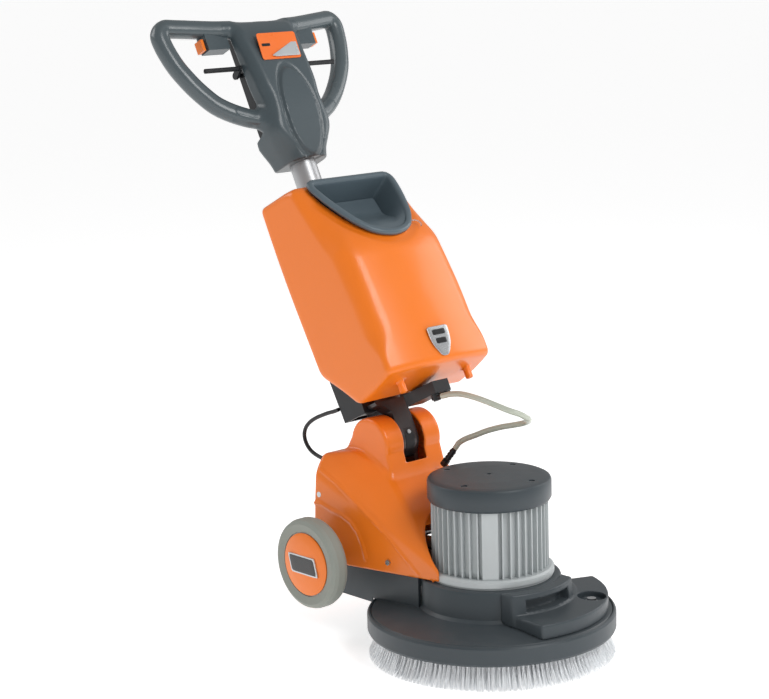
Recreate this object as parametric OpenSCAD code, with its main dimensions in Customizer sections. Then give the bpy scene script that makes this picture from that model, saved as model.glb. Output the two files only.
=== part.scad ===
// Single-disc floor machine: one brush under a round hood, an upright motor with a planetary gearbox,
// two transport wheels, and a tilting handle that carries the solution tank and the controls.
// The brush turns about Z, the front of the machine faces -Y, and the floor is Z = 0.

/* [Overall] */
// Width across the hood and its bumper
hood_d = 440; // [410:5:480]
// Lean of the handle back from upright, in degrees
lean = 26; // [20:1:30]
// Handle length from the tilt pivot to the foot of the head
head_z = 543; // [530:1:600]
// Height of the tilt pivot above the floor
pivot_z = 345; // [345:1:352]
// Distance of the tilt pivot behind the brush axis
pivot_y = 238; // [236:1:242]

/* [Brush and hood] */
// Free length of the bristles
bristle_h = 45; // [40:1:45]
// Thickness of the brush block
block_t = 18; // [14:1:18]
// Thickness of the drive plate
drive_t = 7; // [5:1:7]
// Radial thickness of the bumper band
bumper_t = 6; // [5:0.5:8]
// Height of the bumper band
bumper_h = 35; // [28:1:36]
// Height of the hood's rim above the floor
rim_z = 78; // [78:1:80]
// Height of the collar's top above the floor
collar_z = 142; // [140:1:143]
// Outer radius of the collar round the motor
collar_r = 124; // [122:1:130]
// Wall of the hood and its rear arm
deck_t = 5; // [3:0.5:6]
// Width of the rear arm
arm_w = 220; // [200:5:224]

/* [Motor and gearbox] */
// Radius over the motor's cooling fins
fin_r = 102; // [100:1:104]
// Number of cooling fins
fin_count = 44; // [30:1:50]
// Radius of the motor's flange ring
flange_r = 112; // [110:1:113]
// Height of the motor cap's top above the floor
motor_top = 320; // [310:1:322]
// Radius of the motor cap
cap_r = 109; // [106:1:110]
// Radius of the rotor shaft
shaft_r = 10; // [8:0.5:12]
// Gap between the rotor and the stator
air_gap = 0.6; // [0.4:0.1:1]
// Gear module
gear_m = 2; // [1.9:0.02:2.04]
// Teeth on the sun gear
sun_teeth = 12; // [12]
// Teeth on each planet gear
planet_teeth = 24; // [24]
// Width of the gear teeth
gear_w = 15; // [10:1:16]
// Radius of the planet pins
planet_pin_r = 5; // [4:0.5:6]
// Radius of the output shaft
output_r = 14; // [12:1:16]

/* [Wheels] */
// Diameter of the transport wheels
wheel_d = 164; // [150:2:170]
// Width of the tyres
tyre_w = 36; // [28:1:38]
// Distance between the outer faces of the two tyres
track_w = 426; // [420:2:440]
// Radius of the axle
axle_r = 9; // [7:0.5:10]
// Height of the axle above the floor
axle_z = 150; // [148:1:152]
// Distance of the axle behind the brush axis
axle_y = 256; // [252:1:258]

/* [Base cover] */
// Width of the base cover at the foot of its rear
cover_w = 272; // [260:2:290]
// Width of the base cover at the tips that hold the motor
cover_tip_w = 228; // [226:1:232]
// Width of the hump over the tilt pivot
hump_w = 128; // [116:2:136]
// Radius of the hump over the tilt pivot
hump_r = 49; // [48:1:52]
// Wall of the base cover
cover_t = 3.5; // [2:0.5:4]

/* [Handle] */
// Diameter of the handle pole
pole_d = 50; // [46:1:52]
// Wall of the handle pole
pole_t = 2.5; // [1.5:0.5:4]
// Radius of the pivot arm's eye
eye_r = 38; // [34:1:39]
// Width of the pivot arm in its slot
eye_w = 42; // [36:1:44]
// Radius of the tilt pin
tilt_pin_r = 10; // [8:0.5:12]
// Radius of the grip section
grip_r = 16.5; // [14:0.5:18]
// Half width of the grips at their outer corners
grip_x = 210; // [195:1:225]

/* [Tank] */
// Width of the tank
tank_w = 250; // [236:2:270]
// Height of the tank's top along the pole, from the pivot
tank_top = 471; // [465:1:480]
// Height of the tank's lowest point along the pole, from the pivot
tank_floor = 66; // [66:1:70]
// Distance of the tank's front face ahead of the pole
tank_front = 198; // [190:1:210]
// Wall of the tank
tank_t = 4; // [3:0.5:5]
// Slope of the tray, in degrees from the pole
tray_slope = 29.2; // [28:0.1:30]
// Depth of the tray at its back wall
tray_depth = 46; // [30:1:50]
// Radius of the hinge barrel at the back of the tray
tray_hinge_r = 2.6; // [2:0.1:3]

/* [Clearances] */
// Radial running clearance of pins, shafts and hubs
running = 0.05; // [0.02:0.01:0.1]
// Gap between pieces that sit side by side on one body
seat_gap = 0.1; // [0.05:0.05:0.2]
// Gap between bodies that move past each other
free_gap = 0.6; // [0.4:0.1:1]

/* [Hidden] */
$fn = 72;

// Colours
orange = [0.92, 0.43, 0.13];
dark_grey = [0.25, 0.29, 0.31];
black = [0.08, 0.09, 0.1];
light_grey = [0.62, 0.66, 0.67];
steel = [0.7, 0.71, 0.73];

// Hood and brush
hood_r = hood_d / 2;
hood_rim_r = hood_r - bumper_t;
bumper_foot = rim_z - bumper_h;
brush_r = hood_r - 1.5;
block_r = hood_rim_r - deck_t - 5;
block_top = bristle_h + block_t;
drive_top = block_top + drive_t;
crown_z = rim_z + 10;
arm_rear = axle_y + 42;

// Gearbox stack
ring_teeth = sun_teeth + 2 * planet_teeth;
ring_r = gear_m * ring_teeth / 2;
centre_r = gear_m * (sun_teeth + planet_teeth) / 2;
addendum = 0.8;
dedendum = 1.05;
backlash = 0.12;
housing_floor = drive_top + 14;
carrier_z = housing_floor + 7;
gear_z = carrier_z + 6.5;
gear_top = gear_z + gear_w;
ring_outer = ring_r + 8;

// Motor stack
flange_z = collar_z + 4;
motor_wall_in = fin_r - 18;
motor_wall_out = fin_r - 9;
fins_z = flange_z + 12;
cap_z = motor_top - 42;
stator_z = flange_z + 32;
stator_h = 72;
bore_r = motor_wall_in - 31;
core_r = bore_r - air_gap;

// Wheels
wheel_r = wheel_d / 2;
rim_r = wheel_r - 23;
tyre_out = track_w / 2;
tyre_in = tyre_out - tyre_w;

// Base cover
cover_back = axle_y + 64;
cover_foot_back = 130;
cover_foot_front = 147;
shoulder_z = 333;
slot_w = eye_w + 10;
ear_t = 9;
ear_in = eye_w / 2 + free_gap;

// Handle
pole_r = pole_d / 2;
pole_foot = 70;
pole_head = head_z + 97;
grip_y = 22;
grip_z = head_z + 283;
tray_y = -100;
badge_z = 125;
tap_y = -118;
lever_y = 12;
lever_z = head_z + 190;

// The origin is the middle of the footprint, on the floor
back_y = pivot_y + grip_y * cos(lean) + grip_z * sin(lean) + grip_r;
mid_y = (back_y - hood_r) / 2;

function unit(v) = v / norm(v);

// Cable and hose routes, from the handle to the base
function arm_point(p) = [
    p[0], pivot_y + p[1] * cos(lean) + p[2] * sin(lean), pivot_z - p[1] * sin(lean) + p[2] * cos(lean)
];
motor_cable_r = 3.75;
cable_start = [-60, 56.5, 85.3];
motor_cable_route = [
    arm_point(cable_start), arm_point(cable_start + [0, 15, 1]), [-60, 356, 386], [-60, 374, 379],
    [-60, 392, 371], [-60, 409, 361], [-60, 422, 348], [-60, 427, 333], [-60, 422, 318], [-60, 409, 306],
    [-60, 390, 299], [-60, 368, 296], [-60, 346, 296], [-60, 330, 296]
];
cable_end = motor_cable_route[len(motor_cable_route) - 1];
hose_r = 5.2;
hose_tail_top = [43, 127, 338];
hose_tail_foot = [40, 156, 303];
hose_dir = unit(hose_tail_foot - hose_tail_top);
nozzle_end = [-10, -165.6, tank_floor - 34.4];
water_hose_route = [
    arm_point(nozzle_end), arm_point(nozzle_end + [-0.5, -6, -1]), arm_point(nozzle_end + [-2, -24.7, -4.2]),
    [-16, 50, 458], [-21, 15, 459], [-25, -20, 457], [-26, -50, 453], [-20, -72, 447], [-6, -84, 440],
    [12, -83, 430], [28, -71, 421], [39, -50, 412], [45, -21, 403], [48, 15, 393], [48, 50, 381],
    [47, 80, 368], [45, 103, 358], hose_tail_top - 14 * hose_dir, hose_tail_top - 7 * hose_dir, hose_tail_top
];

module place() translate([0, -mid_y, 0]) children();
module on_arm() translate([0, pivot_y, pivot_z]) rotate([-lean, 0, 0]) children();
module on_tray() on_arm() translate([0, tray_y, tank_top]) rotate([90 - tray_slope, 0, 0]) children();
module along_x(w) rotate([90, 0, 90]) linear_extrude(w, center = true) children();
module pin_x(r, w) rotate([0, 90, 0]) cylinder(r = r, h = w, center = true);
module both_sides() {
    children();
    mirror([1, 0, 0]) children();
}

// Smooth curve through the points, with steps rings in each span
function curve_at(p, i, t) =
    let (a = p[max(i - 1, 0)], b = p[i], c = p[i + 1], d = p[min(i + 2, len(p) - 1)])
    0.5 * (2 * b + (c - a) * t + (2 * a - 5 * b + 4 * c - d) * t * t + (3 * b - a - 3 * c + d) * t * t * t);
function curve(p, steps) = [
    for (i = [0 : len(p) - 2], k = [0 : steps - 1]) curve_at(p, i, k / steps),
    p[len(p) - 1]
];

// Round tube along a route, whose rings keep square to it; ref is a direction that the route never takes
module tube(p, r, ref, sides = 10) {
    n = len(p);
    rings = [
        for (i = [0 : n - 1])
            let (t = unit(p[min(i + 1, n - 1)] - p[max(i - 1, 0)]), a = unit(cross(t, ref)), b = cross(t, a))
            for (k = [0 : sides - 1])
                p[i] + r * (cos(360 * k / sides) * a + sin(360 * k / sides) * b)
    ];
    sides_faces = [
        for (i = [0 : n - 2], k = [0 : sides - 1])
            let (a = i * sides + k, b = i * sides + (k + 1) % sides)
            [a, a + sides, b + sides, b]
    ];
    ends = [
        [for (k = [0 : sides - 1]) k],
        [for (k = [0 : sides - 1]) n * sides - 1 - k]
    ];
    polyhedron(points = rings, faces = concat(sides_faces, ends), convexity = 10);
}

// Involute tooth flank: half the tooth's angle at radius q, on a gear of pitch radius r
pressure = 20;
function inv_deg(q, base) = let (a = acos(min(1, base / q))) tan(a) * 180 / PI - a;
function half_tooth(q, r, teeth, slack) =
    let (base = r * cos(pressure))
    90 / teeth - slack / r * 180 / PI + inv_deg(r, base) - inv_deg(max(q, base), base);
function gear_outline(teeth, tip, root, slack) = [
    for (i = [0 : teeth - 1])
        let (r = gear_m * teeth / 2, c = i * 360 / teeth, radii = [root, r - gear_m * 0.3, r + gear_m * 0.3, tip])
        for (k = [0 : 7])
            let (q = radii[k < 4 ? k : 7 - k], h = max(0.1, half_tooth(q, r, teeth, slack)))
            let (a = c + (k < 4 ? -h : h))
            [q * cos(a), q * sin(a)]
];
module gear_shape(teeth) {
    r = gear_m * teeth / 2;
    polygon(gear_outline(teeth, r + addendum * gear_m, r - dedendum * gear_m, backlash));
}
module ring_space() {
    r = gear_m * ring_teeth / 2;
    polygon(gear_outline(ring_teeth, r + dedendum * gear_m, r - addendum * gear_m, -backlash));
}

// ---- Hood, collar and rear arm ----
function crown_at(r) = rim_z + (crown_z - rim_z) * (hood_rim_r - r) / (hood_rim_r - collar_r);
module hood_section() {
    polygon([
        [hood_rim_r, bumper_foot + 6], [hood_rim_r, rim_z - 3], [hood_rim_r - 3, rim_z],
        [collar_r + 5, crown_at(collar_r + 5)], [collar_r, crown_z + 5], [collar_r, collar_z - 5],
        [collar_r - 1.5, collar_z - 1.5], [collar_r - 5, collar_z], [100, collar_z],
        [100, collar_z - deck_t - 2], [collar_r - deck_t, collar_z - deck_t - 2], [collar_r - deck_t, crown_z],
        [collar_r, crown_at(collar_r) - deck_t], [hood_rim_r - deck_t, rim_z - deck_t],
        [hood_rim_r - deck_t, bumper_foot + 6]
    ]);
}
function foot_line(y) = cover_foot_front + (cover_foot_back - cover_foot_front) * (y - 9) / (cover_back - 9);
module deck() color(dark_grey) place() {
    rotate_extrude($fn = 120) hood_section();
    difference() {
        along_x(arm_w) polygon([
            [70, crown_z - 4], [70, collar_z - 1], [110, foot_line(110) - 0.8],
            [arm_rear, foot_line(arm_rear) - 0.8], [arm_rear, rim_z - 4], [arm_rear - 8, rim_z - 8], [70, rim_z - 8]
        ]);
        along_x(arm_w - 2 * deck_t) polygon([
            [60, rim_z - 20], [60, collar_z - 17], [arm_rear - deck_t, collar_z - 22],
            [arm_rear - deck_t, rim_z - 20]
        ]);
        cylinder(r = collar_r - 0.5, h = 400);
        rotate_extrude($fn = 120) polygon([
            [0, 0], [hood_r + 1, 0], [hood_r + 1, rim_z + 1], [hood_rim_r - 3, rim_z - 1],
            [collar_r - 2, crown_at(collar_r) - 1], [0, crown_z]
        ]);
        translate([0, pivot_y + 5, 0]) linear_extrude(400) square([bracket_w + 2 * seat_gap, bracket_l], center = true);
    }
    translate([0, pivot_y + 5, bracket_foot - 7]) difference() {
        linear_extrude(7 - seat_gap) square([bracket_w + 14, bracket_l + 8], center = true);
        translate([0, 0, -1]) linear_extrude(20) square([30, 40], center = true);
    }
}
module bumper() color(dark_grey) place() rotate_extrude($fn = 120) polygon([
    [hood_rim_r + seat_gap, bumper_foot + 3], [hood_rim_r + 2, bumper_foot], [hood_r - 2, bumper_foot],
    [hood_r, bumper_foot + 4], [hood_r, rim_z - 5], [hood_r - 2, rim_z - 1.5], [hood_rim_r + 1.5, rim_z],
    [hood_rim_r + seat_gap, rim_z - 1]
]);

// ---- Front block with its finger slot and round recess ----
shelf_z = crown_z + 18;
shelf_r = hood_rim_r - 8;
block_x = 73;
recess_r = 25;
recess_pos = [104, -144];
module ring_sector(points, from_angle, to_angle) rotate([0, 0, from_angle])
    rotate_extrude(angle = to_angle - from_angle, $fn = 120) polygon(points);
module front_block() color(dark_grey) place() difference() {
    union() {
        intersection() {
            ring_sector([
                [collar_r + seat_gap, crown_z + 6], [collar_r + 6, crown_at(collar_r + 6) + seat_gap],
                [149, crown_at(149) + seat_gap], [149, shelf_z], [146, collar_z - 3], [143, collar_z],
                [collar_r + seat_gap, collar_z]
            ], -130, -50);
            translate([0, -150, 100]) cube([2 * block_x + 6, 200, 200], center = true);
        }
        intersection() {
            ring_sector([
                [148, crown_at(148) + seat_gap], [shelf_r, crown_at(shelf_r) + seat_gap], [shelf_r, shelf_z - 5],
                [shelf_r - 3, shelf_z], [148, shelf_z + 3]
            ], -125, -18);
            translate([150 - block_x, -100, 100]) cube([300, 400, 200], center = true);
        }
        ring_sector([
            [collar_r + seat_gap, crown_z + 6], [collar_r + 6, crown_at(collar_r + 6) + seat_gap],
            [150, crown_at(150) + seat_gap], [150, shelf_z + 2], [collar_r + seat_gap, shelf_z + 7]
        ], -58, -19);
    }
    ring_sector([[130, shelf_z + 4], [160, shelf_z + 4], [160, collar_z - 10], [130, collar_z - 10]], -112, -68);
    translate([recess_pos[0], recess_pos[1], shelf_z - 12]) cylinder(r = recess_r, h = 30);
}

// ---- Orange base cover ----
// Outward direction of the flank, from its front tip, its rear foot and its rear shoulder
flank = [[cover_tip_w / 2, 14, 167], [cover_w / 2, cover_back, 170], [cover_w / 2 - 8, cover_back - 2, 297]];
flank_out = unit(cross(flank[1] - flank[0], flank[2] - flank[0]));
function flank_x(y, z) = flank[0][0] - (flank_out[1] * (y - flank[0][1]) + flank_out[2] * (z - flank[0][2])) / flank_out[0];
module cover_block(e) {
    drop = e > 0 ? 8 : 0;
    hull() {
        along_x(cover_tip_w - 2 * e) polygon([
            [9 + e, cover_foot_front - drop], [14 + e, 167 - e], [70, foot_line(70) - drop]
        ]);
        along_x(cover_w - 2 * e) polygon([
            [cover_back - e, cover_foot_back - drop], [cover_back - e, 205], [cover_back - 8, cover_foot_back - drop]
        ]);
        along_x(cover_w - 16 - 2 * e) polygon([
            [cover_back - 2 - e, 297 - e], [cover_back - 14, 290 - e], [cover_back - 12, 280]
        ]);
        along_x(cover_w - 50 - 2 * e) polygon([
            [cover_back - 5 - e, 326 - e], [270, shoulder_z - 1 - e], [280, 300]
        ]);
        along_x(hump_w - 2 * e) polygon([[202 + e, 314 - e], [262, shoulder_z - e], [262, 260]]);
    }
    hull() {
        along_x(hump_w - 2 * e) translate([pivot_y, pivot_z]) circle(r = hump_r - 3 - e, $fn = 32);
        along_x(hump_w - 14 - 2 * e) translate([pivot_y, pivot_z]) circle(r = hump_r - e, $fn = 32);
        along_x(hump_w - 2 * e) polygon([[pivot_y + 62 - e, 318], [200 + e, 305], [250, 280]]);
    }
}
module base_cover() color(orange) place() difference() {
    cover_block(0);
    cover_block(cover_t);
    cylinder(r = flange_r + 1.6, h = 500, $fn = 120);
    // Slot that the pivot arm swings in
    translate([-slot_w / 2, pivot_y - 90, pivot_z - 31]) cube([slot_w, 90, 120]);
    translate([-slot_w / 2, pivot_y - 1, pivot_z]) cube([slot_w, 56, 60]);
    translate([0, axle_y, axle_z]) pin_x(axle_r + 3, 400);
    translate(cable_end) rotate([90, 0, 0]) cylinder(r = 6.5 + seat_gap, h = 60, center = true);
    translate(hose_tail_foot) aim(-hose_dir) cylinder(r = 6.8 + seat_gap, h = 60, center = true);
    cover_screw_seats() cylinder(r = 5 + seat_gap, h = 40, center = true);
}

// ---- Screws on the base ----
module aim(v) rotate([0, acos(v[2] / norm(v)), atan2(v[1], v[0])]) children();
cover_screws = [[306, 254], [133, 159]];
module cover_screw_seats() both_sides() for (s = cover_screws)
    translate([flank_x(s[0], s[1]), s[0], s[1]]) aim(flank_out) children();
module base_screws() color(steel) place() {
    translate([recess_pos[0], recess_pos[1], shelf_z - 12 + seat_gap]) {
        cylinder(r = 12, h = 2);
        cylinder(r = 8, h = 7);
    }
    cover_screw_seats() translate([0, 0, -4]) cylinder(r = 5, h = 6);
}

// ---- Pivot bracket, pins and axle ----
bracket_foot = 126;
bracket_w = 96;
bracket_l = 104;
module pivot_bracket() color(steel) place() difference() {
    union() {
        translate([0, pivot_y + 5, bracket_foot]) linear_extrude(6)
            square([bracket_w, bracket_l - 2 * seat_gap], center = true);
        both_sides() translate([ear_in + ear_t / 2, 0, 0]) along_x(ear_t) {
            polygon([
                [pivot_y - 44, bracket_foot + 3], [pivot_y + 52, bracket_foot + 3], [pivot_y + 22, pivot_z],
                [pivot_y - 22, pivot_z]
            ]);
            translate([pivot_y, pivot_z]) circle(r = 24);
        }
    }
    translate([0, pivot_y, pivot_z]) pin_x(tilt_pin_r, 300);
    translate([0, axle_y, axle_z]) pin_x(axle_r, 300);
}
module pivot_pin() color(steel) place() translate([0, pivot_y, pivot_z]) {
    pin_x(tilt_pin_r, 2 * (ear_in + ear_t));
    both_sides() translate([ear_in + ear_t + 1.5 + seat_gap, 0, 0]) pin_x(tilt_pin_r + 4, 3);
}
module axle() color(steel) place() translate([0, axle_y, axle_z]) {
    pin_x(axle_r, 2 * (tyre_out - 6));
    both_sides() translate([tyre_out - 5, 0, 0]) pin_x(axle_r + 4, 2.4);
}

// ---- Gearbox ----
module gearbox_housing() color(light_grey) place() {
    difference() {
        union() {
            translate([0, 0, housing_floor]) cylinder(r = ring_outer, h = collar_z - 8 - housing_floor);
            translate([0, 0, collar_z - 15 - seat_gap]) cylinder(r = 99, h = 7);
        }
        translate([0, 0, housing_floor - 1]) cylinder(r = output_r + running, h = 20);
        translate([0, 0, housing_floor + 6]) cylinder(r = ring_r - 1, h = 100);
        translate([0, 0, gear_z - 1]) rotate([0, 0, 180 / ring_teeth])
            linear_extrude(gear_w + 2) ring_space();
        translate([0, 0, gear_top + 1]) cylinder(r = ring_r + 3, h = 100);
    }
}
module planet_carrier() color(steel) place() difference() {
    union() {
        translate([0, 0, drive_top - 8]) cylinder(r = output_r, h = carrier_z - drive_top + 9);
        translate([0, 0, carrier_z]) cylinder(r = centre_r + 13, h = 6);
    }
    for (k = [0 : 2]) rotate([0, 0, 120 * k]) translate([centre_r, 0, carrier_z + 2])
        cylinder(r = planet_pin_r, h = 10);
}
module planet_pins() color(steel) place() for (k = [0 : 2]) rotate([0, 0, 120 * k])
    translate([centre_r, 0, carrier_z + 2]) cylinder(r = planet_pin_r, h = gear_w + 8);
module planet_gear(k) color(steel) place() rotate([0, 0, 120 * k]) translate([centre_r, 0, gear_z])
    difference() {
        rotate([0, 0, 180 / planet_teeth]) linear_extrude(gear_w) gear_shape(planet_teeth);
        translate([0, 0, -1]) cylinder(r = planet_pin_r + running, h = gear_w + 2);
    }
module sun_gear() color(steel) place() translate([0, 0, gear_z]) difference() {
    linear_extrude(gear_w) gear_shape(sun_teeth);
    translate([0, 0, -1]) cylinder(r = shaft_r - 4, h = gear_w + 2);
}
module drive_plate() color(steel) place() difference() {
    union() {
        translate([0, 0, block_top]) cylinder(r = 86, h = drive_t - 1);
        for (k = [0 : 2]) rotate([0, 0, 120 * k + 60]) translate([66, 0, block_top - 9])
            cylinder(r = 12, h = 12);
        translate([0, 0, block_top]) cylinder(r = 28, h = drive_t + 6);
    }
    translate([0, 0, drive_top - 8]) cylinder(r = output_r, h = 30);
}
module brush_block() color(black) place() difference() {
    union() {
        translate([0, 0, bristle_h]) cylinder(r = block_r - 4, h = block_t, $fn = 120);
        translate([0, 0, bristle_h]) cylinder(r = block_r, h = block_t - 6, $fn = 120);
    }
    translate([0, 0, bristle_h - 1]) cylinder(r = 45, h = block_t + 2);
    for (k = [0 : 2]) rotate([0, 0, 120 * k + 60]) translate([66, 0, block_top - 9 - seat_gap])
        cylinder(r = 12 + seat_gap, h = 20);
}
module bristles() color([0.9, 0.92, 0.93]) place() rotate_extrude($fn = 120)
    polygon([[60, bristle_h], [58, 0], [brush_r, 0], [block_r - 4, bristle_h]]);

// ---- Motor ----
// Four flat strips divide the fins into quarters
strip_w = 28;
fin_t = 2.4;
fin_pitch = 360 / fin_count;
quarter_fins = floor(fin_count / 4) - 2;
quarter_step = (90 - 3 * fin_pitch) / (quarter_fins - 1);
module motor_housing() color(light_grey) place() {
    rotate_extrude($fn = 120) polygon([
        [26 + seat_gap, collar_z + seat_gap], [flange_r - 2, collar_z + seat_gap], [flange_r - 2, flange_z],
        [flange_r, flange_z], [flange_r, flange_z + 9], [flange_r - 4, fins_z], [motor_wall_out, fins_z],
        [motor_wall_out, cap_z + 4], [motor_wall_in, cap_z + 4], [motor_wall_in, flange_z + 5],
        [26 + seat_gap, flange_z + 5]
    ]);
    for (q = [0 : 3]) rotate([0, 0, 90 * q + 45]) {
        translate([motor_wall_out - 4, -strip_w / 2, fins_z - 2])
            cube([fin_r - motor_wall_out + 4.5, strip_w, cap_z - fins_z + 0.5]);
        for (k = [0 : quarter_fins - 1]) rotate([0, 0, fin_pitch * 1.5 + k * quarter_step])
            translate([motor_wall_out - 1, -fin_t / 2, fins_z - 1])
                cube([fin_r - motor_wall_out + 1, fin_t, cap_z - fins_z + 3]);
    }
}
module motor_cap() color(dark_grey) place() difference() {
    rotate_extrude($fn = 120) polygon([
        [0, cap_z + 22], [26 + seat_gap, cap_z + 22], [26 + seat_gap, cap_z + 6], [33, cap_z + 6],
        [33, motor_top - 6], [motor_wall_in - 4, motor_top - 8], [motor_wall_in - 4, cap_z + 5],
        [motor_wall_out + 3, cap_z + 5], [motor_wall_out + 3, motor_top - 8], [cap_r - 5, motor_top - 10],
        [cap_r - 6, cap_z], [cap_r - 3, cap_z - 1], [cap_r, cap_z + 4], [cap_r, motor_top - 9],
        [cap_r - 2, motor_top - 5], [cap_r - 6, motor_top - 3], [60, motor_top - 0.6], [0, motor_top]
    ]);
    for (k = [0 : 3]) rotate([0, 0, 90 * k + 15]) translate([cap_r - 24, 0, motor_top - 7])
        cylinder(r = 5.5, h = 20);
    translate([0, 0, motor_top - 2.5]) cylinder(r = 4, h = 20);
}
module cap_screws() color(steel) place() for (k = [0 : 3]) rotate([0, 0, 90 * k + 15])
    translate([cap_r - 24, 0, motor_top - 7 + seat_gap]) cylinder(r = 4.5, h = 3);
module stator() color([0.5, 0.3, 0.18]) place() rotate_extrude() {
    translate([bore_r, stator_z]) square([motor_wall_in - seat_gap - bore_r, stator_h]);
    translate([bore_r + 4, stator_z - 14]) square([motor_wall_in - bore_r - 12, stator_h + 28]);
}
module bearing(z) translate([0, 0, z]) difference() {
    cylinder(r = 26, h = 10);
    translate([0, 0, -1]) cylinder(r = shaft_r + running, h = 12);
}
module motor_bearings() color(steel) place() {
    bearing(collar_z + seat_gap);
    bearing(cap_z + 11);
}
module rotor_shaft() color(steel) place() {
    translate([0, 0, gear_z]) cylinder(r = shaft_r - 4, h = collar_z - gear_z);
    translate([0, 0, gear_top + 4]) cylinder(r = shaft_r, h = cap_z + 19 - gear_top - 4);
}
module rotor_core() color(light_grey) place() translate([0, 0, stator_z]) difference() {
    cylinder(r = core_r, h = stator_h);
    translate([0, 0, -1]) cylinder(r = shaft_r, h = stator_h + 2);
}
module cooling_fan() color(black) place() translate([0, 0, stator_z + stator_h + 17]) {
    difference() {
        cylinder(r = 20, h = 8);
        translate([0, 0, -1]) cylinder(r = shaft_r, h = 10);
    }
    for (k = [0 : 8]) rotate([0, 0, 40 * k]) translate([18, -1.5, 0]) cube([44, 3, 8]);
}
module run_capacitor() color(light_grey) place() translate([-62, 165, foot_line(165) + 1]) {
    cylinder(r = 17, h = 74);
    translate([0, 0, 74]) cylinder(r = 6, h = 7);
}

// ---- Cable and hose fittings ----
module hose_tail() color(black) place() {
    translate(hose_tail_foot) aim(-hose_dir) {
        cylinder(r = 6.8, h = 12);
        cylinder(r = 4.6, h = norm(hose_tail_top - hose_tail_foot) - seat_gap);
        for (k = [0 : 2]) translate([0, 0, 18 + 8 * k]) cylinder(r1 = 6.4, r2 = 4.8, h = 7);
    }
}
module cable_gland() color(black) place() translate(cable_end) rotate([90, 0, 0]) {
    cylinder(r = 6.5, h = cable_end[1] - cover_back + cover_t + 4);
    cylinder(r = 9, h = cable_end[1] - cover_back - seat_gap);
}

// ---- Wheels ----
module wheel_tyre(side) color([0.55, 0.58, 0.55]) place() translate([0, axle_y, axle_z]) mirror([side, 0, 0])
    rotate([0, -90, 0]) rotate_extrude($fn = 96) polygon([
        [rim_r + seat_gap, tyre_in + 3], [wheel_r - 9, tyre_in], [wheel_r - 2.5, tyre_in + 4],
        [wheel_r, tyre_in + 11], [wheel_r, tyre_out - 11], [wheel_r - 2.5, tyre_out - 4],
        [wheel_r - 9, tyre_out], [rim_r + seat_gap, tyre_out - 3]
    ]);
module wheel_hub(side) color([0.75, 0.76, 0.76]) place() translate([0, axle_y, axle_z]) mirror([side, 0, 0])
    rotate([0, -90, 0]) rotate_extrude($fn = 96) polygon([
        [axle_r + running, tyre_in - 2], [18, tyre_in - 2], [18, tyre_in + 12], [rim_r - 6, tyre_in + 12],
        [rim_r - 6, tyre_in + 4], [rim_r, tyre_in + 4], [rim_r, tyre_out - 5], [rim_r - 6, tyre_out - 5],
        [rim_r - 6, tyre_in + 18], [18, tyre_in + 18], [18, tyre_out - 8], [axle_r + running, tyre_out - 8]
    ]);
module wheel_cap(side) color(orange) place() translate([0, axle_y, axle_z]) mirror([side, 0, 0])
    rotate([0, -90, 0]) rotate_extrude($fn = 96) polygon([
        [0, tyre_out + 4], [20, tyre_out + 3.4], [40, tyre_out + 1.4], [rim_r - 2, tyre_out - 2],
        [rim_r - 2, tyre_out - 4.8], [0, tyre_out - 2.2]
    ]);

// ---- Pivot arm ----
module pivot_arm() color([0.25, 0.22, 0.22]) place() on_arm() difference() {
    union() {
        along_x(eye_w) {
            circle(r = eye_r);
            polygon([[-eye_r, 0], [-36, 62], [32, 62], [eye_r, 0]]);
        }
        translate([0, -12, 0]) rotate([90, 0, 0]) linear_extrude(24) polygon([
            [-52, 68], [-50, 62], [-34, 58], [-21, 46], [21, 46], [34, 58], [50, 62], [52, 68]
        ]);
        translate([0, 0, 58]) cylinder(r = pole_r + 7, h = 84);
    }
    pin_x(tilt_pin_r + running, 100);
    translate([0, 0, pole_foot - seat_gap]) cylinder(r = pole_r + seat_gap, h = 200);
    // Seat of the insert
    along_x(20) difference() {
        circle(r = eye_r + 1);
        circle(r = eye_r - 6);
        translate([-60, 12]) square([120, 60]);
        translate([-10, -60]) square([80, 80]);
    }
}
module arm_insert() color(black) place() on_arm() along_x(20 - 2 * seat_gap) difference() {
    circle(r = eye_r + 0.6);
    circle(r = eye_r - 6 + seat_gap);
    translate([-60, 12 - seat_gap]) square([120, 60]);
    translate([-10 - seat_gap, -60]) square([80, 80]);
}
module arm_screw() color(steel) place() on_arm() translate([0, -eye_r - 0.8, 2]) rotate([90, 0, 0])
    cylinder(r = 4, h = 2);
module pole() color(steel) place() on_arm() difference() {
    translate([0, 0, pole_foot]) cylinder(r = pole_r, h = pole_head - pole_foot);
    translate([0, 0, pole_foot - 1]) cylinder(r = pole_r - pole_t, h = pole_head - pole_foot + 2);
}
module electrics_box() color(black) place() on_arm() {
    translate([cable_start[0] + 10, cable_start[1], cable_start[2]]) rotate([90, 0, 0]) cylinder(r = 5, h = 8);
    box_shell();
}
module box_shell() difference() {
    along_x(120) polygon([[-10, 57], [52, 57], [60, 215], [10, 215], [5, 143], [-10, 122]]);
    cylinder(r = pole_r + 7 + seat_gap, h = 143);
    cylinder(r = pole_r + seat_gap, h = 400);
    translate([-eye_w / 2 - 1, -50, 0]) cube([eye_w + 2, 50 + eye_r, 64]);
    translate([0, 30, 72]) cube([108, 30, 200], center = true);
}

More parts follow.
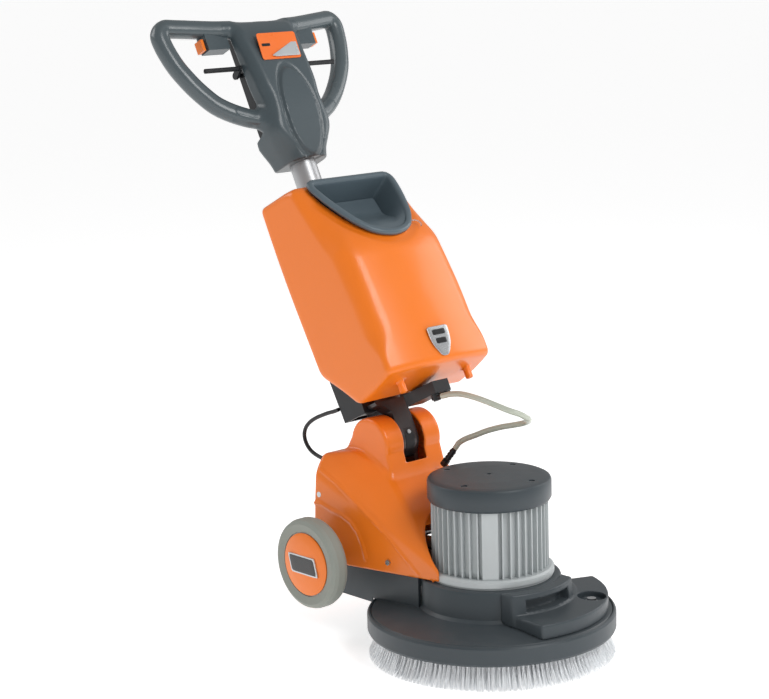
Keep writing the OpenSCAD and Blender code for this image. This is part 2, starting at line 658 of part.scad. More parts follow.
// ---- Tank ----
function tank_mid(e) = [
    [13 - e, tank_top - e], [15 - e, tank_top - 110], [1 - e, tank_floor + 75], [-21 - e / 2, tank_floor + 57 + e],
    [-73, tank_floor + 7 + e], [-90, tank_floor + e], [-172 + e, tank_floor + 15 + e],
    [-tank_front + e, tank_floor + 30], [-tank_front + e, tank_floor + 90], [-tank_front + 5 + e, tank_floor + 170],
    [-180 + e, tank_top - 143], [tray_y + e / 2, tank_top - e]
];
function tank_side(e) = [
    [13 - e, tank_top - e], [15 - e, tank_top - 110], [1 - e, tank_floor + 75],
    [-21 - e / 2, tank_floor + 57 + e], [-73, tank_floor + 7 + e], [-90, tank_floor + e],
    [-168 + e, tank_floor + 17 + e], [-tank_front + 4 + e, tank_floor + 34], [-tank_front + 3 + e, tank_floor + 90],
    [-tank_front + 12 + e, tank_floor + 140], [-172 + e, tank_floor + 203], [-127 + e, tank_top - 95],
    [tray_y + 4 + e, tank_top - e]
];
function tank_edge(e) = [
    [8, tank_top - 8], [8, tank_top - 110], [-8, tank_floor + 84], [-30, tank_floor + 76], [-75, tank_floor + 26],
    [-90, tank_floor + 22], [-158, tank_floor + 32], [-tank_front + 26, tank_floor + 50],
    [-tank_front + 24, tank_floor + 90], [-tank_front + 32, tank_floor + 150], [-108, tank_top - 80],
    [tray_y + 22, tank_top - 10]
];
module tank_body(e) hull() {
    along_x(144 - 2 * e) polygon(tank_mid(e));
    along_x(tank_w - 36 - 2 * e) polygon(tank_side(e));
    along_x(tank_w - 10 - 2 * e) polygon([for (q = tank_edge(0)) q + 0.45 * (tank_centre - q) / 10]);
    along_x(tank_w - 2 * e) polygon(tank_edge(0));
}
tank_centre = [-80, 270];
module pole_groove(e) translate([-pole_r - 3 - e, -pole_r - 3 - e, -10])
    cube([2 * (pole_r + 3 + e), 200, tank_top + 100]);
module collar_space(e) translate([0, 0, -10]) {
    cylinder(r = pole_r + 8 + e, h = 154 + e);
    translate([-pole_r - 8 - e, 0, 0]) cube([2 * (pole_r + 8 + e), 200, 154 + e]);
}
peg_x = 81;
module tank() color(orange) place() on_arm() {
    difference() {
        union() {
            difference() {
                tank_body(0);
                difference() {
                    tank_body(tank_t);
                    pole_groove(tank_t);
                    collar_space(tank_t);
                }
            }
            both_sides() translate([peg_x, -152, tank_floor - 12]) cylinder(r = 7, h = 32);
        }
        pole_groove(0);
        collar_space(0);
        translate([0, tap_y + 22, tank_floor - 20]) cylinder(r = 9 + seat_gap, h = 60);
        translate([0, tray_y, tank_top]) rotate([90 - tray_slope, 0, 0]) basin(3.5, 30);
    }
}
module badge() color(steel) place() on_arm() translate([0, -tank_front - seat_gap, badge_z])
    rotate([90, 0, 0]) linear_extrude(1.6) polygon([[-23, 26], [23, 26], [22, -8], [0, -28], [-22, -8]]);

// ---- Tray lid, drawn flat: X across, -Y down the slope, Z outwards ----
module tray_outline(e) hull() {
    both_sides() {
        translate([91, -14]) circle(r = 14 + e, $fn = 32);
        translate([26, -126]) circle(r = 34 + e, $fn = 48);
    }
}
// Hollow of the tray, deepest at its back wall; e widens it and up raises its mouth
module basin(e, up) hull() {
    translate([0, 0, 0]) linear_extrude(6.4 + up) polygon([
        [-89 - e, -10 + e], [89 + e, -10 + e], [62 + e, -124 - e], [-62 - e, -124 - e]
    ]);
    translate([0, 0, -tray_depth - e]) linear_extrude(1) polygon([
        [-66 - e, -26 + e], [66 + e, -26 + e], [60 + e, -44 - e], [-60 - e, -44 - e]
    ]);
}
module tray_lid() color(dark_grey) place() on_tray() difference() {
    union() {
        translate([0, 0, 0.4]) linear_extrude(6) tray_outline(0);
        basin(2.4, -6);
        translate([0, 0, tray_hinge_r + 0.4]) pin_x(tray_hinge_r, 120);
    }
    translate([0, 0, 0.05]) basin(0, 4);
}
module tray_loop() color([0.85, 0.87, 0.9]) place() on_tray() translate([64.5, -140, 3]) rotate([0, 0, -60])
    rotate_extrude(angle = 180) translate([9, 0]) circle(r = 1.2, $fn = 16);

// ---- Water valve and tap ----
module valve_body() color(black) place() on_arm() difference() {
    union() {
        translate([0, tap_y - 2, tank_floor - 15]) cube([38, 84, 22], center = true);
        translate([0, tap_y + 22, tank_floor - 20]) cylinder(r = 9, h = 34);
        translate([nozzle_end[0], -150, tank_floor - 38]) cylinder(r = 7, h = 14);
        translate(nozzle_end + [0, seat_gap, 0]) rotate([-80.4, 0, 0]) translate([0, 0, 0.3]) cylinder(r = 4.4, h = 16);
    }
    translate([8, tap_y - 12, tank_floor - 60]) cylinder(r = 6 + running, h = 60);
}
module tap_lever() color(black) place() on_arm() translate([8, tap_y - 12, 0]) {
    translate([0, 0, tank_floor - 32]) cylinder(r = 6, h = 30);
    translate([0, 0, tank_floor - 32]) cylinder(r = 9, h = 5);
    translate([-4, -36, tank_floor - 32]) cube([8, 36, 5]);
}

// ---- Handle head ----
module head_front_shape(e) hull() {
    translate([0, -6, head_z + 286 - e]) cube([150 - 2 * e, 12, 2], center = true);
    translate([0, -18, head_z + 262 - e]) cube([146 - 2 * e, 36 - 2 * e, 2], center = true);
    translate([0, -18, head_z + 250]) cube([136 - 2 * e, 44 - 2 * e, 2], center = true);
    translate([0, -21, head_z + 110 + e]) cube([124 - 2 * e, 42 - 2 * e, 2], center = true);
    translate([0, -22, head_z + 112 + e]) cube([104 - 2 * e, 50 - 2 * e, 2], center = true);
}
module head_cover() color(dark_grey) place() on_arm() difference() {
    union() {
        difference() {
            head_front_shape(0);
            head_front_shape(4);
            translate([-200, 0, 0]) cube([400, 100, 2000]);
        }
        hull() {
            translate([0, -21, head_z + 114]) cube([122, 42, 2], center = true);
            translate([0, -4, head_z + 58]) cube([120, 76, 4], center = true);
            translate([0, 0, head_z]) cylinder(r1 = 40, r2 = 46, h = 8, $fn = 32);
        }
    }
    translate([0, 0, head_z - 1]) cylinder(r = pole_r + seat_gap, h = pole_head - head_z + 2);
    translate([-100, 0, head_z + 66 - seat_gap]) cube([200, 100, 300]);
}
module head_back() color(black) place() on_arm() difference() {
    hull() {
        translate([0, 10.3, head_z + 168]) cube([124, 20, 204], center = true);
        translate([0, 24.3, head_z + 170]) cube([84, 40, 180], center = true);
    }
    translate([0, 18.3, head_z + 169]) cube([74, 44, 170], center = true);
    translate([0, 7, head_z + 168]) cube([112, 18, 192], center = true);
    translate([0, 0, head_z]) cylinder(r = pole_r + seat_gap, h = pole_head - head_z + 2);
    translate([0, lever_y, lever_z]) pin_x(4 + running, 300);
    translate([0, 30, hook_z]) pin_x(4 + running, 300);
}
grip_route = curve([
    [66, 0, grip_z - 6], [100, 6, grip_z - 2], [140, 12, grip_z + 4], [178, 18, grip_z + 10],
    [198, 21, grip_z + 12], [grip_x, grip_y, grip_z], [grip_x - 1, grip_y, grip_z - 22],
    [grip_x - 6, 21, grip_z - 45], [grip_x - 13, 20, grip_z - 66], [grip_x - 22, 18, grip_z - 86],
    [grip_x - 34, 17, grip_z - 106], [grip_x - 49, 16, grip_z - 126], [grip_x - 68, 14, grip_z - 147],
    [grip_x - 92, 8, grip_z - 166], [grip_x - 122, 0, grip_z - 183], [54, -6, grip_z - 194]
], 2);
module grip() tube(grip_route, grip_r, [0, 1, 0], 14);
module grip_left() color(dark_grey) place() on_arm() mirror([1, 0, 0]) grip();
module grip_right() color(dark_grey) place() on_arm() grip();
module label() color(orange) place() on_arm() translate([0, -43.2, head_z + 222]) rotate([93, 0, 0])
    linear_extrude(1) offset(r = 5, $fn = 24) square([82, 42], center = true);
module switch_boxes() color(dark_grey) place() on_arm() both_sides() difference() {
    translate([104, 10, head_z + 256]) cube([50, 26, 34], center = true);
    translate([121, 12, head_z + 252]) pin_x(4 + running, 30);
}
module button(side) color(orange) place() on_arm() mirror([side, 0, 0]) {
    translate([135, 12, head_z + 252]) cube([6, 20, 22], center = true);
    translate([124, 12, head_z + 252]) pin_x(4, 20);
}
module run_lever() color(black) place() on_arm() {
    translate([0, lever_y, lever_z]) pin_x(4, 156);
    both_sides() {
        translate([76, 0, 0]) along_x(5) hull() {
            translate([lever_y, lever_z]) circle(r = 7, $fn = 32);
            translate([-3, lever_z + 8]) circle(r = 6.2, $fn = 32);
        }
        translate([116, -3, lever_z + 8]) pin_x(4.5, 78);
    }
}
hook_z = head_z + 172;
module cord_hook() color(black) place() on_arm() translate([0, 30, hook_z]) {
    translate([70, 0, 0]) pin_x(4, 38);
    translate([72, 0, 0]) pin_x(9, 8);
    translate([94, 0, 0]) cube([44, 8, 14], center = true);
    translate([114, 0, 7]) cube([6, 8, 28], center = true);
}
module mains_gland() color(black) place() on_arm() translate([0, 44.3 + seat_gap, head_z + 100])
    rotate([-90, 0, 0]) cylinder(r1 = 9, r2 = 6, h = 16);

module motor_cable() color(black) place() tube(motor_cable_route, motor_cable_r, [1, 0, 0], 8);
module water_hose() color([0.75, 0.77, 0.72]) place() tube(curve(water_hose_route, 2), hose_r, [0.35, 0, 1], 10);

deck();
bumper();
front_block();
base_screws();
base_cover();
pivot_bracket();
pivot_pin();
axle();
gearbox_housing();
motor_housing();
motor_cap();
cap_screws();
stator();
motor_bearings();
run_capacitor();
hose_tail();
cable_gland();
rotor_shaft();
rotor_core();
sun_gear();
cooling_fan();
planet_carrier();
planet_pins();
planet_gear(0);  // planet_gear_1
planet_gear(1);  // planet_gear_2
planet_gear(2);  // planet_gear_3
drive_plate();
brush_block();
bristles();
wheel_tyre(0);  // tyre_left
wheel_hub(0);  // hub_left
wheel_cap(0);  // cap_left
wheel_tyre(1);  // tyre_right
wheel_hub(1);  // hub_right
wheel_cap(1);  // cap_right
pivot_arm();
arm_insert();
arm_screw();
pole();
electrics_box();
tank();
badge();
tray_lid();
tray_loop();
valve_body();
tap_lever();
head_cover();
head_back();
grip_left();
grip_right();
label();
switch_boxes();
button(1);  // button_left
button(0);  // button_right
run_lever();
cord_hook();
mains_gland();
motor_cable();
water_hose();
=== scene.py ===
"""Looks of a single-disc floor machine, built around its packed mechanical model.

Every length is in metres in the row frame.  Shapes that lean with the handle are worked out in the
handle's own frame, in millimetres, with Z along the pole from the tilt pivot, and then placed.
"""

import logging
import math
from dataclasses import dataclass
from enum import Enum
from functools import partial
from typing import Callable

import bpy
import numpy as np
from mathutils import Matrix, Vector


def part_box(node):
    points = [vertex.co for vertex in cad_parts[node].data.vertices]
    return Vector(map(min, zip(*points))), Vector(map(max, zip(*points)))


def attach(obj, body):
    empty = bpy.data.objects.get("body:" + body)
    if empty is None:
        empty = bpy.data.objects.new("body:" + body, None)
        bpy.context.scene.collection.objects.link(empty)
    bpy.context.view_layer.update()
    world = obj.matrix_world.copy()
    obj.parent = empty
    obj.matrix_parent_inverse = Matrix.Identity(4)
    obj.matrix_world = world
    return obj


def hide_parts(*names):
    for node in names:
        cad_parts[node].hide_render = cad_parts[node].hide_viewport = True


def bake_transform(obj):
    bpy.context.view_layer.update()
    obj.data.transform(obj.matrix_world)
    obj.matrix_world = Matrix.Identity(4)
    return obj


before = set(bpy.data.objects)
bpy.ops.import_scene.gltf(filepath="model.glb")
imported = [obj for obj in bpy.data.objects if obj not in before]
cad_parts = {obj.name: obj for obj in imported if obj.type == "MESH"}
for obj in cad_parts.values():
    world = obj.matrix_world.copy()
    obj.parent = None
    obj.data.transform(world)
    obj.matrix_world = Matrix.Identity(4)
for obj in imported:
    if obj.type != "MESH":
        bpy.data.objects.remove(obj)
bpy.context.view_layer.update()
LOG = logging.getLogger("floor_machine")

Array = np.ndarray
Field = Callable[[Array], Array]
MM = 0.001

LEAN = math.radians(26.0)
MID_Y = 208.18
PIVOT = np.array([0.0, 238.0, 345.0])
TRAY_ORIGIN = np.array([0.0, -100.0, 471.0])
TRAY_SLOPE = math.radians(29.2)


# ---------------------------------------------------------------- frames


def base_to_row(points: Array) -> Array:
    """Place points of the base, in millimetres from the brush axis at the floor.

    Args:
        points: array whose last axis is x, y, z.

    Returns:
        The same points in the row frame, in metres.
    """
    return (np.asarray(points, float) - [0.0, MID_Y, 0.0]) * MM


def arm_to_base(points: Array) -> Array:
    """Turn points of the handle by its lean about the tilt pivot.

    Args:
        points: array whose last axis is x, Y, Z of the handle.

    Returns:
        Points of the base frame, in millimetres.
    """
    p = np.asarray(points, float)
    c, s = math.cos(LEAN), math.sin(LEAN)
    return np.stack(
        [p[..., 0], PIVOT[1] + p[..., 1] * c + p[..., 2] * s, PIVOT[2] - p[..., 1] * s + p[..., 2] * c],
        axis=-1,
    )


def arm_to_row(points: Array) -> Array:
    """Place points of the handle in the row frame, in metres."""
    return base_to_row(arm_to_base(points))


def tray_to_arm(points: Array) -> Array:
    """Lay points of the tray on its slope.

    Args:
        points: array whose last axis is x, v up the slope, w outwards, in millimetres.

    Returns:
        Points of the handle frame.
    """
    p = np.asarray(points, float)
    s, c = math.sin(TRAY_SLOPE), math.cos(TRAY_SLOPE)
    return np.stack(
        [
            p[..., 0],
            TRAY_ORIGIN[1] + p[..., 1] * s - p[..., 2] * c,
            TRAY_ORIGIN[2] + p[..., 1] * c + p[..., 2] * s,
        ],
        axis=-1,
    )


def to_tray(p: Array) -> Array:
    """Turn points of the handle frame into the tray's own frame, the inverse of tray_to_arm.

    Args:
        p: array whose last axis is x, Y, Z of the handle, in millimetres.

    Returns:
        Array whose last axis is x, v up the slope, w outwards.
    """
    s, c = math.sin(TRAY_SLOPE), math.cos(TRAY_SLOPE)
    dy, dz = p[..., 1] - TRAY_ORIGIN[1], p[..., 2] - TRAY_ORIGIN[2]
    return np.stack([p[..., 0], dy * s + dz * c, -dy * c + dz * s], axis=-1)


def tray_to_row(points: Array) -> Array:
    """Place points of the tray in the row frame, in metres."""
    return arm_to_row(tray_to_arm(points))


# ---------------------------------------------------------------- curves and grids


def smooth(t: Array) -> Array:
    """Ease from 0 to 1: 3t^2 - 2t^3 with t held between 0 and 1."""
    t = np.clip(t, 0.0, 1.0)
    return t * t * (3.0 - 2.0 * t)


def band(value: Array, centre: float, half: float) -> Array:
    """Bump of height 1 at centre that eases to 0 at a distance of half."""
    return smooth(1.0 - np.abs(value - centre) / half)


def catmull(points: Array, steps: int) -> Array:
    """Smooth curve through points, a cubic with central-difference tangents in each span.

    Args:
        points: control points, shape (n, 3).
        steps: samples in each span.

    Returns:
        Points along the curve, shape ((n - 1) * steps + 1, 3).
    """
    p = np.asarray(points, float)
    a, b, c, d = p[np.r_[0, 0 : len(p) - 2]], p[:-1], p[1:], p[np.r_[2 : len(p), len(p) - 1]]
    t = np.arange(steps)[None, :, None] / steps
    a, b, c, d = (q[:, None, :] for q in (a, b, c, d))
    body = 0.5 * (
        2 * b + (c - a) * t + (2 * a - 5 * b + 4 * c - d) * t**2 + (3 * b - a - 3 * c + d) * t**3
    )
    return np.vstack([body.reshape(-1, 3), p[-1:]])


def even(points: Array, count: int) -> Array:
    """Points at equal steps of length along a polyline.

    Args:
        points: corners of the polyline, shape (n, dimensions).
        count: number of points.

    Returns:
        Array of shape (count, dimensions).
    """
    p = np.asarray(points, float)
    run = np.r_[0.0, np.cumsum(np.linalg.norm(np.diff(p, axis=0), axis=1))]
    at = np.linspace(0.0, run[-1], count)
    return np.stack([np.interp(at, run, p[:, k]) for k in range(p.shape[1])], axis=-1)


def length_of(points: Array) -> float:
    """Length of a polyline."""
    return float(np.linalg.norm(np.diff(points, axis=0), axis=1).sum())


def unit(v: Array) -> Array:
    """Vectors of length 1 along v."""
    return v / np.maximum(np.linalg.norm(v, axis=-1, keepdims=True), 1e-12)


def sweep(path: Array, radius: Array, side: Array, turns: int, squareness: float = 2.0) -> Array:
    """Tube along a path: centre + r * (cos a * across + sin a * up), with a superellipse section.

    Args:
        path: centre line, shape (n, 3).
        radius: one radius, or one for each point of the path.
        side: direction that the path never takes, which sets where the section's sides face.
        turns: points round the section.
        squareness: exponent of the superellipse, 2 for a circle.

    Returns:
        Grid of shape (n, turns, 3).
    """
    tangent = unit(np.gradient(path, axis=0))
    across = unit(np.cross(tangent, side))
    up = np.cross(across, tangent)
    a = np.linspace(0.0, 2 * math.pi, turns, endpoint=False)
    c, s = np.cos(a), np.sin(a)
    k = (np.abs(c) ** squareness + np.abs(s) ** squareness) ** (-1.0 / squareness)
    r = np.broadcast_to(np.asarray(radius, float), (len(path),))[:, None, None]
    right, top = r * (k * c)[None, :, None], r * (k * s)[None, :, None]
    return path[:, None] + right * across[:, None] + top * up[:, None]


def grid_faces(rows: int, columns: int, closed: bool) -> Array:
    """Quads between neighbouring rows of a grid.

    Args:
        rows: number of rows.
        columns: points in each row.
        closed: whether the last column meets the first.

    Returns:
        Vertex numbers, shape (m, 4).
    """
    i = np.arange(rows - 1)[:, None]
    j = np.arange(columns if closed else columns - 1)[None, :]
    n = (j + 1) % columns
    quads = np.stack(
        [i * columns + j, i * columns + n, (i + 1) * columns + n, (i + 1) * columns + j], axis=-1
    )
    return quads.reshape(-1, 4)


def fan_faces(ring: Array, centre: int, flip: bool) -> Array:
    """Triangles from a ring to the vertex at its centre.

    Args:
        ring: vertex numbers in order.
        centre: number of the vertex at the centre.
        flip: whether the faces turn the other way.

    Returns:
        Vertex numbers, shape (m, 3).
    """
    nxt = np.roll(ring, -1)
    mid = np.full_like(ring, centre)
    return np.stack([nxt, ring, mid] if flip else [ring, nxt, mid], axis=-1)


def flow(at: Array, knots: list[tuple[float, float]]) -> Array:
    """Value at each height, read from a smooth curve through (height, value) knots."""
    c = catmull(np.array([(h, v, 0.0) for h, v in knots]), 8)
    return np.interp(at, c[:, 0], c[:, 1])


# ---------------------------------------------------------------- meshes

SLIDES = 4
MAX_SLIDE = 0.9
RIM_SLIDES = 6
RIM_REACH = 9.0


def mesh_piece(
    name: str,
    vertices: Array,
    faces: list[Array],
    material: bpy.types.Material,
    sharp: float = 35.0,
    outwards: bool = True,
) -> bpy.types.Object:
    """Make a mesh object at the origin from whole arrays.

    Args:
        name: name of the piece.
        vertices: points in the row frame, in metres, shape (n, 3).
        faces: arrays of vertex numbers, each of shape (m, 3) or (m, 4).
        material: the piece's material.
        sharp: angle in degrees past which an edge is drawn sharp.
        outwards: whether to turn the faces of a closed shape outwards.

    Returns:
        The new object.
    """
    mesh = bpy.data.meshes.new(name)
    loops = np.concatenate([f.ravel() for f in faces]).astype(np.int32)
    counts = np.concatenate([np.full(len(f), f.shape[1]) for f in faces]).astype(np.int32)
    starts = np.r_[0, np.cumsum(counts)[:-1]].astype(np.int32)
    mesh.vertices.add(len(vertices))
    mesh.vertices.foreach_set("co", np.asarray(vertices, np.float32).ravel())
    mesh.loops.add(len(loops))
    mesh.loops.foreach_set("vertex_index", loops)
    mesh.polygons.add(len(counts))
    mesh.polygons.foreach_set("loop_start", starts)
    mesh.polygons.foreach_set("use_smooth", np.ones(len(counts), bool))
    mesh.update(calc_edges=True)
    mesh.validate()
    if outwards and signed_volume(mesh) < 0:
        mesh.flip_normals()
    mesh.set_sharp_from_angle(angle=math.radians(sharp))
    mesh.materials.append(material)
    piece = bpy.data.objects.new(name, mesh)
    bpy.context.scene.collection.objects.link(piece)
    return piece


def signed_volume(mesh: bpy.types.Mesh) -> float:
    """Volume inside a closed mesh: a sixth of the sum of a . (b x c) over its triangles.

    Args:
        mesh: the mesh.

    Returns:
        The volume, negative if the faces point inwards.
    """
    mesh.calc_loop_triangles()
    tri = np.zeros(len(mesh.loop_triangles) * 3, np.int32)
    mesh.loop_triangles.foreach_get("vertices", tri)
    co = np.zeros(len(mesh.vertices) * 3, np.float32)
    mesh.vertices.foreach_get("co", co)
    a, b, c = (co.reshape(-1, 3)[tri.reshape(-1, 3)[:, k]].astype(float) for k in range(3))
    return float(np.einsum("ij,ij->i", a, np.cross(b, c)).sum() / 6.0)


def skin(name: str, grid: Array, material: bpy.types.Material, caps: tuple[bool, bool] = (True, True),
         sharp: float = 35.0) -> bpy.types.Object:
    """Closed surface from rings of points, with a fan to the middle of an end ring where it is capped.

    Args:
        name: name of the piece.
        grid: rings in the row frame, shape (rings, points, 3).
        material: the piece's material.
        caps: whether the first and the last ring are closed.
        sharp: angle in degrees past which an edge is drawn sharp.

    Returns:
        The new object.
    """
    rows, columns = grid.shape[:2]
    points = [grid.reshape(-1, 3)]
    faces = [grid_faces(rows, columns, True)]
    total = rows * columns
    for at_end, wanted in enumerate(caps):
        if wanted:
            ring = np.arange(columns) + (rows - 1) * columns * at_end
            points.append(grid[-1 if at_end else 0].mean(axis=0)[None])
            faces.append(fan_faces(ring, total, not at_end))
            total += 1
    return mesh_piece(name, np.vstack(points), faces, material, sharp)


def implicit_mesh(field: Field, low: Array, high: Array, step: float) -> tuple[Array, Array]:
    """Quads on the surface where a field is zero, negative inside.

    Each grid cell that the surface crosses gets one vertex at the mean of its edge crossings, which
    then slides down the field's gradient onto the surface.  Each grid edge that the surface crosses
    gets the quad of its four cells.

    Args:
        field: function of points (..., 3) that gives values (...).
        low: lowest corner of the grid.
        high: highest corner of the grid.
        step: cell size.

    Returns:
        Vertices (n, 3) and quads (m, 4), facing outwards.
    """
    low, high = np.asarray(low, float), np.asarray(high, float)
    size = np.ceil((high - low) / step).astype(int) + 1
    axes = [low[k] + step * np.arange(size[k]) for k in range(3)]
    value = field(np.stack(np.meshgrid(*axes, indexing="ij"), axis=-1))
    inside = value < 0
    total = np.zeros(tuple(size - 1) + (3,))
    count = np.zeros(tuple(size - 1))
    for axis in range(3):
        u, v = (k for k in range(3) if k != axis)
        for du in (0, 1):
            for dv in (0, 1):
                near = [slice(0, size[k] - 1) for k in range(3)]
                near[u], near[v] = slice(du, size[u] - 1 + du), slice(dv, size[v] - 1 + dv)
                far = list(near)
                far[axis] = slice(1, size[axis])
                a, b = value[tuple(near)], value[tuple(far)]
                crossed = (a < 0) != (b < 0)
                t = np.where(crossed, a / np.where(crossed, a - b, 1.0), 0.0)
                offset = np.zeros(a.shape + (3,))
                offset[..., axis], offset[..., u], offset[..., v] = t, du, dv
                total += np.where(crossed[..., None], offset, 0.0)
                count += crossed
    cells = np.argwhere(count > 0)
    number = np.full(tuple(size - 1), -1)
    number[tuple(cells.T)] = np.arange(len(cells))
    at = tuple(cells.T)
    points = low + step * (cells + total[at] / count[at][:, None])
    start = points.copy()
    for _ in range(SLIDES):
        points = onto(points, field)
        points = start + np.clip(points - start, -MAX_SLIDE * step, MAX_SLIDE * step)
    quads = []
    for axis in range(3):
        u, v = ((1, 2), (2, 0), (0, 1))[axis]
        a = np.take(inside, range(0, size[axis] - 1), axis)
        b = np.take(inside, range(1, size[axis]), axis)
        edge = np.argwhere(a != b)
        at_u, at_v = edge[:, u], edge[:, v]
        edge = edge[(at_u > 0) & (at_v > 0) & (at_u < size[u] - 1) & (at_v < size[v] - 1)]
        eu, ev = np.eye(3, dtype=int)[u], np.eye(3, dtype=int)[v]
        ring = [number[tuple((edge - d).T)] for d in (eu + ev, ev, 0 * eu, eu)]
        quad = np.stack(ring, axis=-1)
        leaving = a[tuple(edge.T)]
        quads.append(np.where(leaving[:, None], quad, quad[:, ::-1]))
    return points, np.vstack(quads)


def gradient(field: Field, points: Array, reach: float = 0.15) -> Array:
    """Slope of a field at each point, by central differences over reach."""
    steps = np.eye(3) * reach
    return np.stack([(field(points + s) - field(points - s)) / (2 * reach) for s in steps], axis=-1)


def onto(points: Array, field: Field) -> Array:
    """One Newton step towards the field's zero: p - f * g / |g|^2."""
    g = gradient(field, points)
    return points - field(points)[:, None] * g / np.maximum((g * g).sum(-1, keepdims=True), 0.05)


def cut_open(points: Array, quads: Array, field: Field, cutter: Field) -> tuple[Array, Array]:
    """Leave out the part of a surface inside a cutter, and pull its rim onto the cutter's edge.

    Args:
        points: vertices (n, 3).
        quads: faces (m, 4).
        field: the surface is where this is zero.
        cutter: negative where the surface is left out.

    Returns:
        The vertices and faces that stay.
    """
    gone = cutter(points[quads].mean(axis=1)) < 0
    rim = np.intersect1d(quads[gone], quads[~gone])
    quads = quads[~gone]
    moved = points[rim]
    for _ in range(RIM_SLIDES):
        moved = onto(onto(moved, cutter), field)
    points = points.copy()
    near = np.linalg.norm(moved - points[rim], axis=1) < RIM_REACH
    points[rim[near]] = moved[near]
    used, quads = np.unique(quads, return_inverse=True)
    return points[used], quads.reshape(-1, 4)


# ---------------------------------------------------------------- fields


def round_and(a: Array, b: Array, radius: float | Array) -> Array:
    """Part inside both fields, with a round edge: the corner's distance is a hypotenuse."""
    outside = np.hypot(np.maximum(a + radius, 0.0), np.maximum(b + radius, 0.0))
    return np.minimum(np.maximum(a, b), -radius) + outside


def round_or(a: Array, b: Array, radius: float) -> Array:
    """Part inside either field, with a round valley between them."""
    return -round_and(-a, -b, radius)


def convex(p: Array, corners: list[tuple[float, float]], u: int, v: int, radius: float) -> Array:
    """Field of a convex polygon: the half planes of its edges, joined one after another by round_and.

    Args:
        p: points (..., 3).
        corners: the polygon's corners, in order.
        u: axis of the first coordinate.
        v: axis of the second coordinate.
        radius: radius of the corners.

    Returns:
        Distance outside the polygon, negative inside.
    """
    c = np.asarray(corners, float)
    nxt = np.roll(c, -1, axis=0)
    area = (c[:, 0] * nxt[:, 1] - nxt[:, 0] * c[:, 1]).sum()
    d = nxt - c
    n = np.stack([d[:, 1], -d[:, 0]], axis=-1) * np.sign(area)
    n = n / np.linalg.norm(n, axis=1, keepdims=True)
    out = None
    for (nu, nv), (cu, cv) in zip(n, c):
        side = (p[..., u] - cu) * nu + (p[..., v] - cv) * nv
        out = side if out is None else round_and(out, side, radius)
    return out


# ---------------------------------------------------------------- finishes


class Lines(Enum):
    """Fine lines in a surface, as the stretch of its pattern along x, y and z."""

    NONE = (1.0, 1.0, 1.0)
    TURNED = (1.0, 12.0, 12.0)
    DRAWN = (8.0, 8.0, 0.2)


class Side(Enum):
    """Side of the machine: its name and the sign of x there."""

    LEFT = ("left", -1.0)
    RIGHT = ("right", 1.0)


def linear(rgb: tuple[int, int, int]) -> tuple[float, float, float, float]:
    """Screen colour as scene-linear: ((c + 0.055) / 1.055) ^ 2.4 above the small linear part.

    Args:
        rgb: red, green and blue from 0 to 255.

    Returns:
        Red, green, blue and alpha.
    """
    c = np.asarray(rgb, float) / 255.0
    lin = np.where(c <= 0.04045, c / 12.92, ((c + 0.055) / 1.055) ** 2.4)
    return (float(lin[0]), float(lin[1]), float(lin[2]), 1.0)


def socket_group(name: str, inputs: list[tuple[str, str, object]], outputs: list[tuple[str, str]]) -> tuple:
    """Start a shader node group.

    Args:
        name: name of the group.
        inputs: name, socket type and default of each input.
        outputs: name and socket type of each output.

    Returns:
        The group, its input node and its output node.
    """
    group = bpy.data.node_groups.new(name, "ShaderNodeTree")
    for label, kind, value in inputs:
        made = group.interface.new_socket(label, in_out="INPUT", socket_type=kind)
        if value is not None:
            made.default_value = value
    for label, kind in outputs:
        group.interface.new_socket(label, in_out="OUTPUT", socket_type=kind)
    return group, group.nodes.new("NodeGroupInput"), group.nodes.new("NodeGroupOutput")


def math_node(group: bpy.types.NodeTree, operation: str, a: object, b: object) -> object:
    """Arithmetic on two sockets or numbers.

    Args:
        group: the node tree.
        operation: the node's operation.
        a: first socket or number.
        b: second socket or number.

    Returns:
        The output socket.
    """
    node = group.nodes.new("ShaderNodeMath")
    node.operation = operation
    for place, value in enumerate((a, b)):
        if isinstance(value, (int, float)):
            node.inputs[place].default_value = value
        else:
            group.links.new(value, node.inputs[place])
    return node.outputs[0]


def noise_node(group: bpy.types.NodeTree, vector: object, scale: object, detail: float) -> object:
    """Noise from 0 to 1.

    Args:
        group: the node tree.
        vector: socket of the coordinates.
        scale: features per metre, a number or a socket.
        detail: number of octaves.

    Returns:
        The output socket.
    """
    node = group.nodes.new("ShaderNodeTexNoise")
    node.inputs["Detail"].default_value = detail
    group.links.new(vector, node.inputs["Vector"])
    if isinstance(scale, (int, float)):
        node.inputs["Scale"].default_value = scale
    else:
        group.links.new(scale, node.inputs["Scale"])
    return node.outputs["Fac"]


